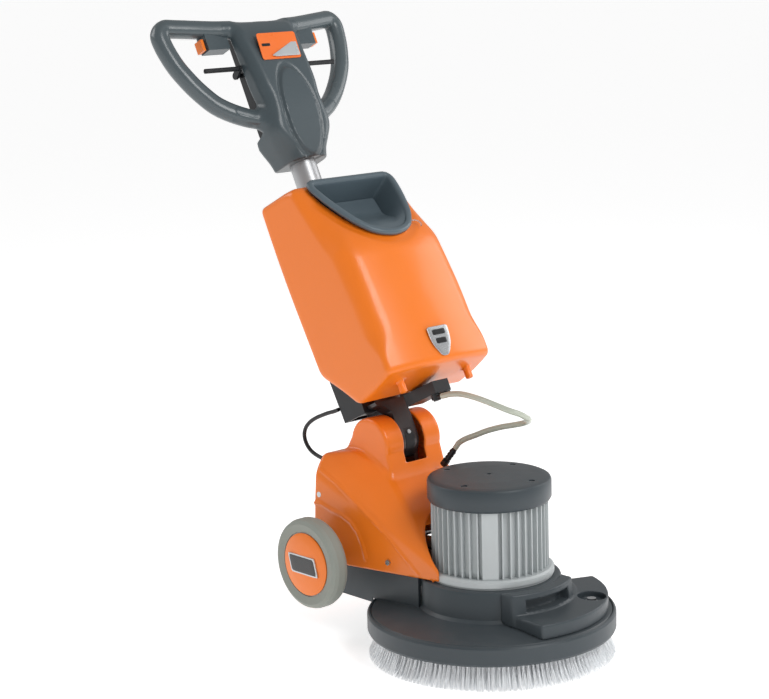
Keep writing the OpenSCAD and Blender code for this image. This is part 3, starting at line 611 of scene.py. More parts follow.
@dataclass(frozen=True)
class SurfaceWear:
    """Shared effect: tone that drifts, handling marks that dull the gloss, dust on top faces, grain."""

    blotch_scale: float = 9.0
    smear_scale: float = 38.0
    speck_scale: float = 420.0
    speck_strength: float = 0.04
    dust_colour: tuple[int, int, int] = (205, 202, 196)
    dust_focus: float = 3.0
    dust_roughness: float = 0.5
    smear_relief: float = 0.35

    def build(self) -> bpy.types.NodeTree:
        """Make the node group.

        The tone is 1 + Drift * (blotch - 1/2) + speck_strength * (speck - 1/2), and the dust covers
        Dust * smear * (upward part of the normal) ^ dust_focus.

        Returns:
            The group, whose outputs are Color, Roughness and Height.
        """
        number, colour, vector = "NodeSocketFloat", "NodeSocketColor", "NodeSocketVector"
        group, given, out = socket_group(
            "surface_wear",
            [("Vector", vector, None), ("Color", colour, (0.5, 0.5, 0.5, 1)), ("Drift", number, 0.05),
             ("Roughness", number, 0.4), ("Smears", number, 0.1), ("Dust", number, 0.1),
             ("Grain", number, 1200.0)],
            [("Color", colour), ("Roughness", number), ("Height", number)],
        )
        calc, noise = partial(math_node, group), partial(noise_node, group, given.outputs["Vector"])
        link = group.links.new
        blotch = noise(self.blotch_scale, 3.0)
        smear = noise(self.smear_scale, 6.0)
        speck = noise(self.speck_scale, 2.0)
        grain = noise(given.outputs["Grain"], 1.0)
        drift = calc("MULTIPLY", calc("SUBTRACT", blotch, 0.5), given.outputs["Drift"])
        fine = calc("MULTIPLY", calc("SUBTRACT", speck, 0.5), self.speck_strength)
        tone = group.nodes.new("ShaderNodeHueSaturation")
        link(calc("ADD", calc("ADD", drift, fine), 1.0), tone.inputs["Value"])
        link(given.outputs["Color"], tone.inputs["Color"])
        facing = group.nodes.new("ShaderNodeNewGeometry")
        split = group.nodes.new("ShaderNodeSeparateXYZ")
        link(facing.outputs["Normal"], split.inputs[0])
        upward = calc("POWER", calc("MAXIMUM", split.outputs["Z"], 0.0), self.dust_focus)
        cover = calc("MULTIPLY", calc("MULTIPLY", upward, smear), given.outputs["Dust"])
        dusty = group.nodes.new("ShaderNodeMix")
        dusty.data_type = "RGBA"
        link(cover, dusty.inputs[0])
        link(tone.outputs["Color"], dusty.inputs[6])
        dusty.inputs[7].default_value = linear(self.dust_colour)
        dulled = calc("MULTIPLY", calc("SUBTRACT", smear, 0.5), given.outputs["Smears"])
        rough = calc("ADD", calc("ADD", dulled, given.outputs["Roughness"]),
                     calc("MULTIPLY", cover, self.dust_roughness))
        link(dusty.outputs[2], out.inputs["Color"])
        link(rough, out.inputs["Roughness"])
        link(calc("ADD", grain, calc("MULTIPLY", smear, self.smear_relief)), out.inputs["Height"])
        return group


@dataclass(frozen=True)
class Finish:
    """One material: its colour, its gloss and how strong the shared wear shows on it."""

    name: str
    colour: tuple[int, int, int]
    lines: Lines = Lines.NONE
    roughness: float = 0.42
    metallic: float = 0.0
    coat: float = 0.0
    coat_roughness: float = 0.12
    ior: float = 1.46
    drift: float = 0.08
    smears: float = 0.16
    dust: float = 0.05
    grain: float = 1500.0
    relief: float = 0.00004
    relief_strength: float = 0.6
    transmission: float = 0.0
    turn: float = 0.0

    def build(self, wear: bpy.types.NodeTree) -> bpy.types.Material:
        """Make the material around the shared wear group.

        Args:
            wear: the shared node group.

        Returns:
            The material.
        """
        material = bpy.data.materials.new(self.name)
        material.use_nodes = True
        tree = material.node_tree
        shader = tree.nodes["Principled BSDF"]
        place = tree.nodes.new("ShaderNodeTexCoord")
        mapping = tree.nodes.new("ShaderNodeMapping")
        worn = tree.nodes.new("ShaderNodeGroup")
        worn.node_tree = wear
        bump = tree.nodes.new("ShaderNodeBump")
        for node, values in (
            (mapping, {"Rotation": (self.turn, 0.0, 0.0), "Scale": self.lines.value}),
            (bump, {"Strength": self.relief_strength, "Distance": self.relief}),
            (worn, {"Color": linear(self.colour), "Drift": self.drift, "Roughness": self.roughness,
                    "Smears": self.smears, "Dust": self.dust, "Grain": self.grain}),
            (shader, {"Metallic": self.metallic, "Coat Weight": self.coat, "IOR": self.ior,
                      "Coat Roughness": self.coat_roughness, "Transmission Weight": self.transmission}),
        ):
            for socket, value in values.items():
                node.inputs[socket].default_value = value
        for source, output, target, socket in (
            (place, "Object", mapping, "Vector"), (mapping, "Vector", worn, "Vector"),
            (worn, "Color", shader, "Base Color"), (worn, "Roughness", shader, "Roughness"),
            (worn, "Height", bump, "Height"), (bump, "Normal", shader, "Normal"),
        ):
            tree.links.new(source.outputs[output], target.inputs[socket])
        return material


FINISHES = (
    Finish("hood_plastic", (58, 66, 71), roughness=0.42, dust=0.05, relief=0.00006),
    Finish("head_plastic", (68, 79, 84), roughness=0.34, coat=0.12, smears=0.08, relief=0.00002),
    Finish("grip_plastic", (76, 86, 90), roughness=0.26, coat=0.2, smears=0.06, relief=0.000008),
    Finish("tray_plastic", (84, 98, 106), roughness=0.38, coat=0.05),
    Finish("orange_plastic", (242, 122, 22), roughness=0.34, coat=0.22, drift=0.04,
           dust=0.02, grain=900.0, relief=0.00003),
    Finish("black_plastic", (24, 26, 29), roughness=0.45, dust=0.03),
    Finish("steel", (172, 174, 176), Lines.TURNED, roughness=0.34, metallic=1.0, drift=0.05),
    Finish("screw_steel", (190, 192, 194), roughness=0.28, metallic=1.0),
    Finish("cast_alloy", (186, 191, 192), roughness=0.44, metallic=0.12, relief=0.0001,
           grain=700.0, dust=0.06),
    Finish("laminations", (130, 92, 60), roughness=0.5, metallic=0.6),
    Finish("arm_iron", (64, 58, 58), roughness=0.3, metallic=0.4, coat=0.3),
    Finish("pole_metal", (178, 180, 182), Lines.DRAWN, roughness=0.4, metallic=0.75, drift=0.03,
           turn=LEAN, relief=0.00002),
    Finish("tyre_rubber", (142, 146, 138), roughness=0.62, drift=0.12, dust=0.08),
    Finish("hub_plastic", (176, 178, 174), roughness=0.45),
    Finish("bristle_nylon", (250, 252, 254), roughness=0.3, drift=0.05, dust=0.0),
    Finish("clear_nylon", (225, 230, 235), roughness=0.12, transmission=0.8),
    Finish("badge_silver", (196, 198, 200), roughness=0.22, metallic=0.8, coat=0.4),
    Finish("badge_black", (22, 23, 25), roughness=0.22, coat=0.4),
    Finish("label_orange", (236, 112, 36), roughness=0.3, coat=0.3),
    Finish("label_silver", (198, 202, 204), roughness=0.3, metallic=0.5, coat=0.3),
    Finish("cable_rubber", (24, 25, 27), roughness=0.42),
    Finish("hose_vinyl", (196, 201, 186), roughness=0.3, coat=0.2, transmission=0.12, drift=0.06),
    Finish("floor_paint", (250, 250, 250), roughness=0.6, drift=0.01, dust=0.0),
)

NODE_FINISH = {
    "hood_plastic": "deck bumper motor_cap",
    "head_plastic": "switch_boxes",
    "orange_plastic": "cap_left cap_right button_left button_right",
    "black_plastic": "head_back electrics_box valve_body tap_lever run_lever cord_hook mains_gland "
                     "cable_gland hose_tail arm_insert cooling_fan brush_block",
    "steel": "pivot_bracket pivot_pin axle planet_carrier planet_pins planet_gear_1 planet_gear_2 "
             "planet_gear_3 sun_gear rotor_shaft drive_plate motor_bearings",
    "screw_steel": "base_screws cap_screws arm_screw",
    "cast_alloy": "motor_housing gearbox_housing run_capacitor",
    "laminations": "rotor_core stator",
    "arm_iron": "pivot_arm",
    "pole_metal": "pole",
    "tyre_rubber": "tyre_left tyre_right",
    "hub_plastic": "hub_left hub_right",
    "clear_nylon": "tray_loop",
    "label_orange": "label",
}

SOFT_EDGES = {"deck": 1.4, "electrics_box": 2.0, "switch_boxes": 2.4, "pivot_arm": 1.6,
              "head_back": 2.4, "motor_cap": 1.4, "button_left": 1.2, "button_right": 1.2,
              "cord_hook": 1.0, "valve_body": 1.4, "cap_left": 0.8, "cap_right": 0.8}


@dataclass
class Workshop:
    """Holds the materials and hands each piece its finish and its body."""

    materials: dict[str, bpy.types.Material]

    @classmethod
    def open(cls) -> "Workshop":
        """Build the shared wear group and every material once."""
        wear = SurfaceWear().build()
        return cls({f.name: f.build(wear) for f in FINISHES})

    def fit(self, piece: bpy.types.Object, finish: str, body: str, *nodes: str) -> bpy.types.Object:
        """Join a piece to its body.

        Args:
            piece: the finished piece.
            finish: name of its finish.
            body: the body that it rides on.
            nodes: the nodes that it stands for.

        Returns:
            The same piece.
        """
        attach(piece, body)
        if nodes:
            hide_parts(*nodes)
        LOG.info("%s: %s on %s, %d faces", piece.name, finish, body, len(piece.data.polygons))
        return piece

    def mould(self, name: str, field: Field, box: tuple, step: float, place: Field, finish: str, body: str,
              node: str, cutter: Field | None = None, wall: float = 0.0, sharp: float = 40.0) -> None:
        """Mesh a field's surface and fit it: closed as it is, or cut open and given a wall.

        Args:
            name: name of the piece.
            field: the surface is where this is zero.
            box: lowest and highest corner of the grid, in the field's frame.
            step: cell size of the grid.
            place: puts points of the field's frame in the row frame.
            finish: name of its finish.
            body: the body that it rides on.
            node: the node that it stands for.
            cutter: negative where the surface is left out.
            wall: wall of an open surface, in millimetres.
            sharp: angle in degrees past which an edge is drawn sharp.
        """
        points, quads = implicit_mesh(field, *box, step)
        if cutter is not None:
            points, quads = cut_open(points, quads, field, cutter)
        piece = mesh_piece(name, place(points), [quads], self.materials[finish], sharp, cutter is None)
        if cutter is not None:
            thicken(piece, wall)
        self.fit(piece, finish, body, node)

    def dress_nodes(self) -> None:
        """Give every shown node of the model its finish, and soften the edges of the moulded ones."""
        for finish, names in NODE_FINISH.items():
            for name in names.split():
                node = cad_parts[name]
                node.data.materials.clear()
                node.data.materials.append(self.materials[finish])
                if name in SOFT_EDGES:
                    soften(node, SOFT_EDGES[name])
                LOG.info("%s: %s", name, finish)


def soften(piece: bpy.types.Object, width: float) -> None:
    """Merge a node's loose triangles and round its sharp edges, by modifiers only.

    Args:
        piece: the object.
        width: width of the rounding in millimetres.
    """
    weld = piece.modifiers.new("weld", "WELD")
    weld.merge_threshold = 0.00002
    bevel = piece.modifiers.new("soft_edges", "BEVEL")
    bevel.width = width * MM
    bevel.segments = 3
    bevel.limit_method = "ANGLE"
    bevel.angle_limit = math.radians(35.0)
    bevel.harden_normals = False


def thicken(piece: bpy.types.Object, wall: float) -> None:
    """Give an open surface a wall, inwards from its outer face.

    Args:
        piece: the object.
        wall: thickness of the wall in millimetres.
    """
    solid = piece.modifiers.new("wall", "SOLIDIFY")
    solid.thickness = wall * MM
    solid.offset = -1.0
    solid.use_even_offset = False


def pad(name: str, outline: Array, place: Field, low: float, high: float, ease: float,
        material: bpy.types.Material) -> bpy.types.Object:
    """Thin plate with a rounded top edge: rings of a convex outline that draw in on a quarter circle.

    Args:
        name: name of the piece.
        outline: corner points (n, 2) in millimetres, in order.
        place: puts points (..., 3) of the plate's own frame in the row frame.
        low: height of the underside.
        high: height of the top.
        ease: radius of the rounding.
        material: the piece's material.

    Returns:
        The new object.
    """
    middle = outline.mean(axis=0)
    reach = np.linalg.norm(outline - middle, axis=1).mean()
    a = np.linspace(0.0, math.pi / 2, 5)
    inset = np.r_[0.0, ease * (1 - np.cos(a)), ease + 0.35 * reach]
    level = np.r_[low, high - ease + ease * np.sin(a), high]
    rings = middle + (outline - middle)[None] * (1 - inset / reach)[:, None, None]
    z = np.broadcast_to(level[:, None, None], rings.shape[:2] + (1,))
    return skin(name, place(np.concatenate([rings, z], axis=-1)), material, sharp=50.0)


def round_outline(corners: list[tuple[float, float]], radius: float, count: int = 72) -> Array:
    """Points at even angles on a convex outline with rounded corners, found by halving along each ray.

    Args:
        corners: the polygon's corners.
        radius: radius of the corners.
        count: number of points.

    Returns:
        Array of shape (count, 2).
    """
    middle = np.asarray(corners, float).mean(axis=0)
    a = np.linspace(0.0, 2 * math.pi, count, endpoint=False)
    ray = np.stack([np.cos(a), np.sin(a)], axis=-1)
    near, far = np.zeros(count), np.full(count, 400.0)
    for _ in range(30):
        mid = (near + far) / 2
        inside = convex(middle + ray * mid[:, None], corners, 0, 1, radius) < 0
        near, far = np.where(inside, mid, near), np.where(inside, far, mid)
    return middle + ray * near[:, None]


def arm_box(name: str) -> tuple[Array, Array]:
    """Box round a node in the handle's frame, in millimetres.

    Args:
        name: name of the node.

    Returns:
        Its lowest and its highest corner.
    """
    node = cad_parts[name].data
    co = np.zeros(len(node.vertices) * 3, np.float32)
    node.vertices.foreach_get("co", co)
    base = co.reshape(-1, 3).astype(float) / MM + [0.0, MID_Y, 0.0] - PIVOT
    c, s = math.cos(LEAN), math.sin(LEAN)
    y, z = base[:, 1] * c - base[:, 2] * s, base[:, 1] * s + base[:, 2] * c
    local = np.stack([base[:, 0], y, z], axis=-1)
    return local.min(axis=0), local.max(axis=0)


def near_polyline(q: Array, line: list[tuple[float, ...]]) -> Array:
    """Distance from points to an open polyline, the least of the distances to its spans.

    Args:
        q: points, shape (..., dimensions).
        line: the polyline's corners, of as many dimensions.

    Returns:
        Distances, shape (...).
    """
    best = None
    for a, b in zip(np.asarray(line[:-1], float), np.asarray(line[1:], float)):
        t = np.clip(((q - a) @ (b - a)) / ((b - a) @ (b - a)), 0.0, 1.0)
        d = np.linalg.norm(q - a - t[..., None] * (b - a), axis=-1)
        best = d if best is None else np.minimum(best, d)
    return best


def mirrored(p: Array) -> Array:
    """Points with x made positive, so that one side's shape serves both."""
    return np.concatenate([np.abs(p[..., :1]), p[..., 1:]], axis=-1)


# ---------------------------------------------------------------- base


@dataclass
class BaseCover:
    """Orange cover behind the motor: a wedge, a hump over the pivot and raised lines."""

    step: float = 2.9
    wall: float = 3.5
    edge: float = 5.5
    valley: float = 8.0
    motor_gap: float = 113.6
    hump_half: float = 67.0
    hump_r: float = 49.0
    slot_half: float = 26.0
    relief_from: float = 70.0
    relief_over: float = 20.0

    BOX = ((-146, -6, 108), (146, 334, 404))
    PROFILE = [(9, 118), (14, 167), (202, 314), (262, 333), (315, 326), (318, 297), (320, 205), (320, 118)]
    SKIRT = [(164, 262), (180, 310), (196, 362), (225, 390), (262, 386), (290, 352), (308, 314)]
    FLANKS = (
        ((0.994, -0.0793, 0.0631), (114, 14, 167)), ((0.647, -0.355, 0.674), (64, 202, 314)),
        ((0.857, -0.240, 0.456), (114, 316, 326)), ((0.9975, -0.0706, 0.0), (136, 320, 130)),
    )
    ARCH = [(323, 236), (300, 238), (277, 231), (250, 226), (227, 217), (208, 200), (196, 178), (188, 155)]
    PANEL = [(309, 301), (263, 280), (203, 246), (165, 224), (129, 201), (61, 149)]
    CREASE = [(240, 332), (190, 310), (131, 284), (83, 249), (34, 200), (6, 170)]
    RAISED = ((ARCH, 6.0, 3.6), (PANEL, 4.6, 2.8), (CREASE, 4.6, 2.2))
    FOOT = ((9.0, 147.0), (320.0, 130.0))
    SLOTS = ((148.0, 238.0, 314.0), (200.0, 293.0, 345.0))

    def field(self, p: Array) -> Array:
        """Outer surface: rounded side profile within four flank planes, joined to the hump by a valley.

        Args:
            p: points of the base frame, in millimetres.

        Returns:
            Distance outside the surface, negative inside.
        """
        body = convex(p, self.PROFILE, 1, 2, self.edge)
        x = np.abs(p[..., 0])
        for (nx, ny, nz), (px, py, pz) in self.FLANKS:
            flank = (x - px) * nx + (p[..., 1] - py) * ny + (p[..., 2] - pz) * nz
            body = round_and(body, flank, self.edge)
        relief = 0.0
        for line, half, height in self.RAISED:
            relief = np.maximum(relief, height * band(near_polyline(p[..., 1:], line), 0.0, half))
        body = body - relief * smooth((x - self.relief_from) / self.relief_over)
        circle = np.hypot(p[..., 1] - PIVOT[1], p[..., 2] - PIVOT[2]) - self.hump_r
        skirt = convex(p, self.SKIRT, 1, 2, self.valley)
        hump = round_and(np.minimum(circle, skirt), x - self.hump_half, self.edge)
        return round_or(body, hump, self.valley)

    def openings(self, p: Array) -> Array:
        """Field of what is cut away: the motor's round, the arm's two slots and all below the foot.

        Args:
            p: points of the base frame, in millimetres.

        Returns:
            Distance outside what is cut away, negative inside it.
        """
        x, y, z = np.abs(p[..., 0]) - self.slot_half, p[..., 1], p[..., 2]
        (y0, z0), (y1, z1) = self.FOOT
        motor = np.hypot(p[..., 0], y) - self.motor_gap
        foot = z - (z0 + (y - y0) * (z1 - z0) / (y1 - y0))
        slots = [np.maximum.reduce([x, front - y, y - rear, low - z]) for front, rear, low in self.SLOTS]
        return np.minimum.reduce([motor, foot, *slots])

    def build(self, shop: Workshop) -> None:
        """Mesh the cover and fit it."""
        shop.mould("base_shell", self.field, self.BOX, self.step, base_to_row, "orange_plastic", "base",
                   "base_cover", self.openings, self.wall)


@dataclass
class FrontBlock:
    """Dark block on the hood's front: a grip with a finger slot beside a shelf with a round recess."""

    step: float = 2.5
    collar: float = 124.1
    edge: float = 3.0
    valley: float = 2.5
    cut_edge: float = 1.5
    hood_r: float = 214.0
    hood_z: float = 78.1
    hood_rise: float = 10.0
    hood_run: float = 90.0
    grip_r: float = 149.0
    grip_half: float = 76.0
    grip_lean: float = 0.12
    rise: float = 142.0
    shelf: float = 106.0
    shelf_r: float = 206.0
    shelf_inner: float = 146.0
    shelf_side: float = 73.0
    bridge_r: float = 151.0
    bridge_rise: float = 7.0
    recess_r: float = 25.0
    recess_floor: float = 94.0

    BOX = ((-84, -214, 74), (204, -34, 148))
    RECESS = (104.0, -144.0)
    SLOT_R = (130.0, 170.0)
    SLOT_Z = (111.0, 131.0)
    SLOT_ARC = (-111.0, -69.0)
    GRIP_ARC = (-130.0, -50.0)
    SHELF_ARC = (-125.0, -18.0)
    BRIDGE_ARC = (-75.0, -19.0)

    @staticmethod
    def sector(p: Array, arc: tuple[float, float]) -> Array:
        """Distance outside the wedge between two headings, the greater of the distances past its sides.

        Args:
            p: points of the base frame.
            arc: the headings in degrees, less than a half turn apart.

        Returns:
            The distances, negative inside the wedge.
        """
        a, b = (math.radians(heading) for heading in arc)
        return np.maximum(p[..., 0] * math.sin(a) - p[..., 1] * math.cos(a),
                          p[..., 1] * math.cos(b) - p[..., 0] * math.sin(b))

    def field(self, p: Array) -> Array:
        """Union of the grip, the shelf and the low bridge along the collar, less the slot and the recess.

        Args:
            p: points of the base frame, in millimetres.

        Returns:
            Distance outside the block, negative inside.
        """
        x, y, z = p[..., 0], p[..., 1], p[..., 2]
        r = np.hypot(x, y)
        under = self.hood_z + self.hood_rise * (self.hood_r - r) / self.hood_run - z
        lean = r - self.grip_r + self.grip_lean * (z - self.shelf)
        grip = round_and(round_and(lean, z - self.rise, self.edge), np.abs(x) - self.grip_half, self.edge)
        grip = np.maximum.reduce([grip, self.collar - r, self.sector(p, self.GRIP_ARC)])
        shelf = round_and(r - self.shelf_r, z - self.shelf + 0.04 * (r - 160.0), self.edge)
        shelf = round_and(shelf, -self.shelf_side - x, self.edge)
        shelf = round_and(shelf, self.sector(p, self.SHELF_ARC), self.edge)
        shelf = np.maximum(shelf, self.shelf_inner - r)
        top = z - self.shelf - self.bridge_rise + 0.2 * (r - 124.0)
        bridge = round_and(r - self.bridge_r, top, self.edge)
        bridge = round_and(bridge, self.sector(p, self.BRIDGE_ARC), self.edge)
        bridge = np.maximum(bridge, self.collar - r)
        body = round_or(round_or(grip, shelf, self.valley), bridge, self.valley)
        slot = np.maximum.reduce([self.SLOT_R[0] - r, r - self.SLOT_R[1], self.SLOT_Z[0] - z,
                                  z - self.SLOT_Z[1], self.sector(p, self.SLOT_ARC)])
        recess = np.hypot(x - self.RECESS[0], y - self.RECESS[1]) - self.recess_r
        recess = np.maximum(recess, self.recess_floor - z)
        body = round_and(round_and(body, -slot, self.cut_edge), -recess, self.cut_edge)
        return np.maximum(body, under)

    def build(self, shop: Workshop) -> None:
        """Mesh the block and fit it."""
        shop.mould("front_grip", self.field, self.BOX, self.step, base_to_row, "hood_plastic", "base",
                   "front_block", sharp=42.0)


@dataclass
class BrushRing:
    """Round brush: rings of tufts that flare to the floor, the outer ones of loose filaments."""

    top: float = 45.0
    flare: float = 18.5
    outer: tuple[float, ...] = (200.0, 193.0, 186.0)
    tufts: int = 150
    filaments: int = 12
    seed: int = 7
    reach: float = 218.8
    angle_spread: float = 0.006
    radius_spread: float = 1.1
    sway: float = 1.4
    tuft_pitch: float = 9.0
    tuft_flare: float = 4.0

    STRAND_R = (0.55, 0.6, 0.62, 0.5)
    TUFT_R = (2.2, 3.0, 4.2)
    TUFT_RINGS = (74.0, 180.0)

    def strands(self, centre: Array, radius: Array, foot: float, sides: int) -> Array:
        """Filaments as thin prisms whose centre moves out with the square of the drop.

        Args:
            centre: points (n, 2) at the block, in millimetres.
            radius: radius of each strand, from the block to the floor, shape (levels,).
            foot: how far out the strands end.
            sides: sides of the prism.

        Returns:
            Grid of shape (n, levels, sides, 3).
        """
        t = np.linspace(0.0, 1.0, len(radius))
        out = unit(centre)
        line = centre[:, None, :] + out[:, None, :] * (foot * t**2)[None, :, None]
        a = np.linspace(0.0, 2 * math.pi, sides, endpoint=False)
        rim = np.stack([np.cos(a), np.sin(a)], axis=-1)
        xy = line[:, :, None, :] + radius[None, :, None, None] * rim[None, None]
        z = np.broadcast_to((self.top * (1 - t))[None, :, None, None], xy.shape[:3] + (1,))
        return np.concatenate([xy, z], axis=-1)

    def mesh(self, name: str, grid: Array, shop: Workshop) -> None:
        """Make one piece of many strands, each closed at both ends.

        Args:
            name: name of the piece.
            grid: the strands, shape (n, levels, sides, 3), in millimetres.
            shop: holds the materials and fits each piece.
        """
        n, levels, sides = grid.shape[:3]
        one = grid_faces(levels, sides, True)
        tip = (levels - 1) * sides + np.arange(sides)
        offset = (np.arange(n) * levels * sides)[:, None, None]
        faces = [(one[None] + offset).reshape(-1, 4)]
        caps = np.concatenate([tip[None, [0, k, k + 1]] for k in range(1, sides - 1)])
        heads = np.concatenate([np.array([[0, k + 1, k]]) for k in range(1, sides - 1)])
        faces.append((np.concatenate([caps, heads])[None] + offset).reshape(-1, 3))
        points = base_to_row(grid.reshape(-1, 3))
        piece = mesh_piece(name, points, faces, shop.materials["bristle_nylon"], 80.0)
        shop.fit(piece, "bristle_nylon", "brush", "bristles")

    def build(self, shop: Workshop) -> None:
        """Make the outer filaments, scattered by chance about their tufts, and the inner tufts.

        Args:
            shop: holds the materials and fits each piece.
        """
        chance = np.random.default_rng(self.seed)
        for ring, radius in enumerate(self.outer):
            a = (np.arange(self.tufts) + 0.5 * ring) * 2 * math.pi / self.tufts
            a = np.repeat(a, self.filaments)
            a = a + chance.normal(0.0, self.angle_spread, len(a))
            r = radius + chance.normal(0.0, self.radius_spread, len(a))
            centre = np.stack([r * np.cos(a), r * np.sin(a)], axis=-1)
            grid = self.strands(centre, np.array(self.STRAND_R), self.flare - 3.0 * ring, 3)
            down = np.linspace(0, 1, 4)[None, :, None, None]
            grid[..., :2] += chance.normal(0.0, self.sway, (len(a), 1, 1, 2)) * down
            out = np.linalg.norm(grid[..., :2], axis=-1, keepdims=True)
            grid[..., :2] *= np.minimum(1.0, self.reach / out)
            self.mesh(f"bristles_outer_{ring + 1}", grid, shop)
        centre = []
        for radius in np.arange(*self.TUFT_RINGS, self.tuft_pitch):
            a = np.linspace(0.0, 2 * math.pi, int(2 * math.pi * radius / self.tuft_pitch), endpoint=False)
            centre.append(np.stack([radius * np.cos(a), radius * np.sin(a)], axis=-1))
        tufts = self.strands(np.vstack(centre), np.array(self.TUFT_R), self.tuft_flare, 6)
        self.mesh("bristles_inner", tufts, shop)


@dataclass
class WheelTrim:
    """Plain dark lozenge with a pale border on each wheel's cap, without any mark."""

    centre_y: float = 256.0
    centre_z: float = 150.0
    border: tuple[tuple[float, float], ...] = ((-40, -17), (31, -17), (40, 17), (-31, 17))
    panel: tuple[tuple[float, float], ...] = ((-37, -14.5), (28.5, -14.5), (37, 14.5), (-28.5, 14.5))

    def build(self, shop: Workshop) -> None:
        """Lay the two plates on each cap.

        Args:
            shop: holds the materials and fits each piece.
        """
        for side, sign in (member.value for member in Side):
            face = float(np.abs(np.array(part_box(f"cap_{side}"))[:, 0]).max()) / MM

            def place(p: Array, sign: float = sign) -> Array:
                """Stand the plate upright on the cap's face."""
                return base_to_row(np.stack(
                    [sign * p[..., 2], self.centre_y + p[..., 0], self.centre_z + p[..., 1]], axis=-1))

            for name, corners, finish, low, high in (
                ("border", self.border, "label_silver", -1.5, 0.5),
                ("panel", self.panel, "badge_black", 0.0, 0.9),
            ):
                outline = round_outline(list(corners), 2.5, 48)
                piece = pad(f"cap_{name}_{side}", outline, place, face + low, face + high, 0.3,
                            shop.materials[finish])
                shop.fit(piece, finish, f"wheel_{side}")


# ---------------------------------------------------------------- handle


@dataclass
class Tank:
    """Orange solution tank: a rounded side profile between crowned flanks, with a channel for the pole."""

    step: float = 4.0
    half: float = 125.0
    crown: float = 13.0
    wall: float = 4.0
    corner: float = 11.0
    flank_edge: float = 9.0
    front_edge: float = 25.0
    valley_depth: float = 3.6
    mouth_inset: float = 7.0
    mouth_depth: float = 14.0
    inner_edge: float = 3.0
    channel_half: float = 28.0
    collar_r: float = 33.0
    collar_top: float = 144.0
    peg_r: float = 7.0

    BOX = ((-134, -206, 50), (134, 22, 480))
    PROFILE = [(13, 471), (15, 361), (1, 141), (-80, 62), (-172, 76), (-199, 88), (-199, 156), (-194, 236),
               (-180, 330), (-100, 471)]
    PEG = (81.0, -152.0)
    PEG_Z = (54.0, 110.0)
    SHIELD = [(-25, 18), (25, 18), (23, -12), (8, -37), (-8, -37), (-23, -12)]
    SHIELD_RISE = 9.0
    BARS = (("badge_bar_upper", 15.0, 7.0), ("badge_bar_lower", 12.0, -9.0))
    BAR_HALF = 5.0

    def field(self, p: Array) -> Array:
        """Outer surface: profile bent back towards the flanks, rounded into them, less channel and collar.

        Args:
            p: points of the handle frame, in millimetres.

        Returns:
            Distance outside the surface, negative inside.
        """
        x, y, z = np.abs(p[..., 0]), p[..., 1], p[..., 2]
        bent = p.copy()
        bent[..., 1] = y - self.crown * (x / 107.0) ** 2 * smooth((-y - 30.0) / 120.0)
        side = convex(bent, self.PROFILE, 1, 2, self.corner)
        frontal = smooth((z - 112.0) / 60.0) * smooth((-y - 60.0) / 70.0)
        body = round_and(side, x - self.half, self.flank_edge + self.front_edge * frontal)
        flat = to_tray(p)
        rim = convex(flat, Tray.CORNERS, 0, 1, Tray.corner)
        valley = band(rim, self.mouth_inset, 26.0) * smooth((flat[..., 2] + 22.0) / 8.0)
        body = body + self.valley_depth * valley * smooth((-flat[..., 1] - 20.0) / 30.0)
        channel = np.maximum(x - self.channel_half, -self.channel_half - y)
        collar = np.maximum(np.hypot(x, y) - self.collar_r, z - self.collar_top)
        body = round_and(body, -np.minimum(channel, collar), self.inner_edge)
        peg = np.hypot(x - self.PEG[0], y - self.PEG[1]) - self.peg_r
        peg = np.maximum(peg, np.maximum(self.PEG_Z[0] - z, z - self.PEG_Z[1]))
        return round_or(body, peg, self.inner_edge)

    def mouth(self, p: Array) -> Array:
        """Field of the filling mouth under the tray, worked out on the tray's slope.

        Args:
            p: points of the handle frame, in millimetres.

        Returns:
            Distance outside the mouth, negative inside it.
        """
        flat = to_tray(p)
        rim = convex(flat, Tray.CORNERS, 0, 1, Tray.corner)
        return np.maximum(rim + self.mouth_inset, -self.mouth_depth - flat[..., 2])

    def badge(self, shop: Workshop) -> None:
        """Lay a plain shield with two plain bars on the tank's front.

        Args:
            shop: holds the materials and fits each piece.
        """
        low, high = arm_box("badge")
        middle = (low[2] + high[2]) / 2

        def place(p: Array) -> Array:
            """Stand the plate upright on the tank's front."""
            up = middle + self.SHIELD_RISE + p[..., 1]
            return arm_to_row(np.stack([p[..., 0], low[1] - p[..., 2], up], axis=-1))

        shield = round_outline(self.SHIELD, 5.0, 72)
        deep = low[1] - high[1]
        shop.fit(pad("badge_shield", shield, place, deep, 0.2, 0.6, shop.materials["badge_silver"]),
                 "badge_silver", "handle", "badge")
        for name, across, up in self.BARS:
            foot, head = up - self.BAR_HALF, up + self.BAR_HALF
            bar = round_outline([(-across, foot), (across, foot), (across, head), (-across, head)], 1.2, 48)
            plate = pad(name, bar, place, 0.0, 0.7, 0.2, shop.materials["badge_black"])
            shop.fit(plate, "badge_black", "handle")

    def build(self, shop: Workshop) -> None:
        """Mesh the tank, then its badge.

        Args:
            shop: holds the materials and fits each piece.
        """
        shop.mould("tank_shell", self.field, self.BOX, self.step, arm_to_row, "orange_plastic", "handle",
                   "tank", self.mouth, self.wall)
        self.badge(shop)


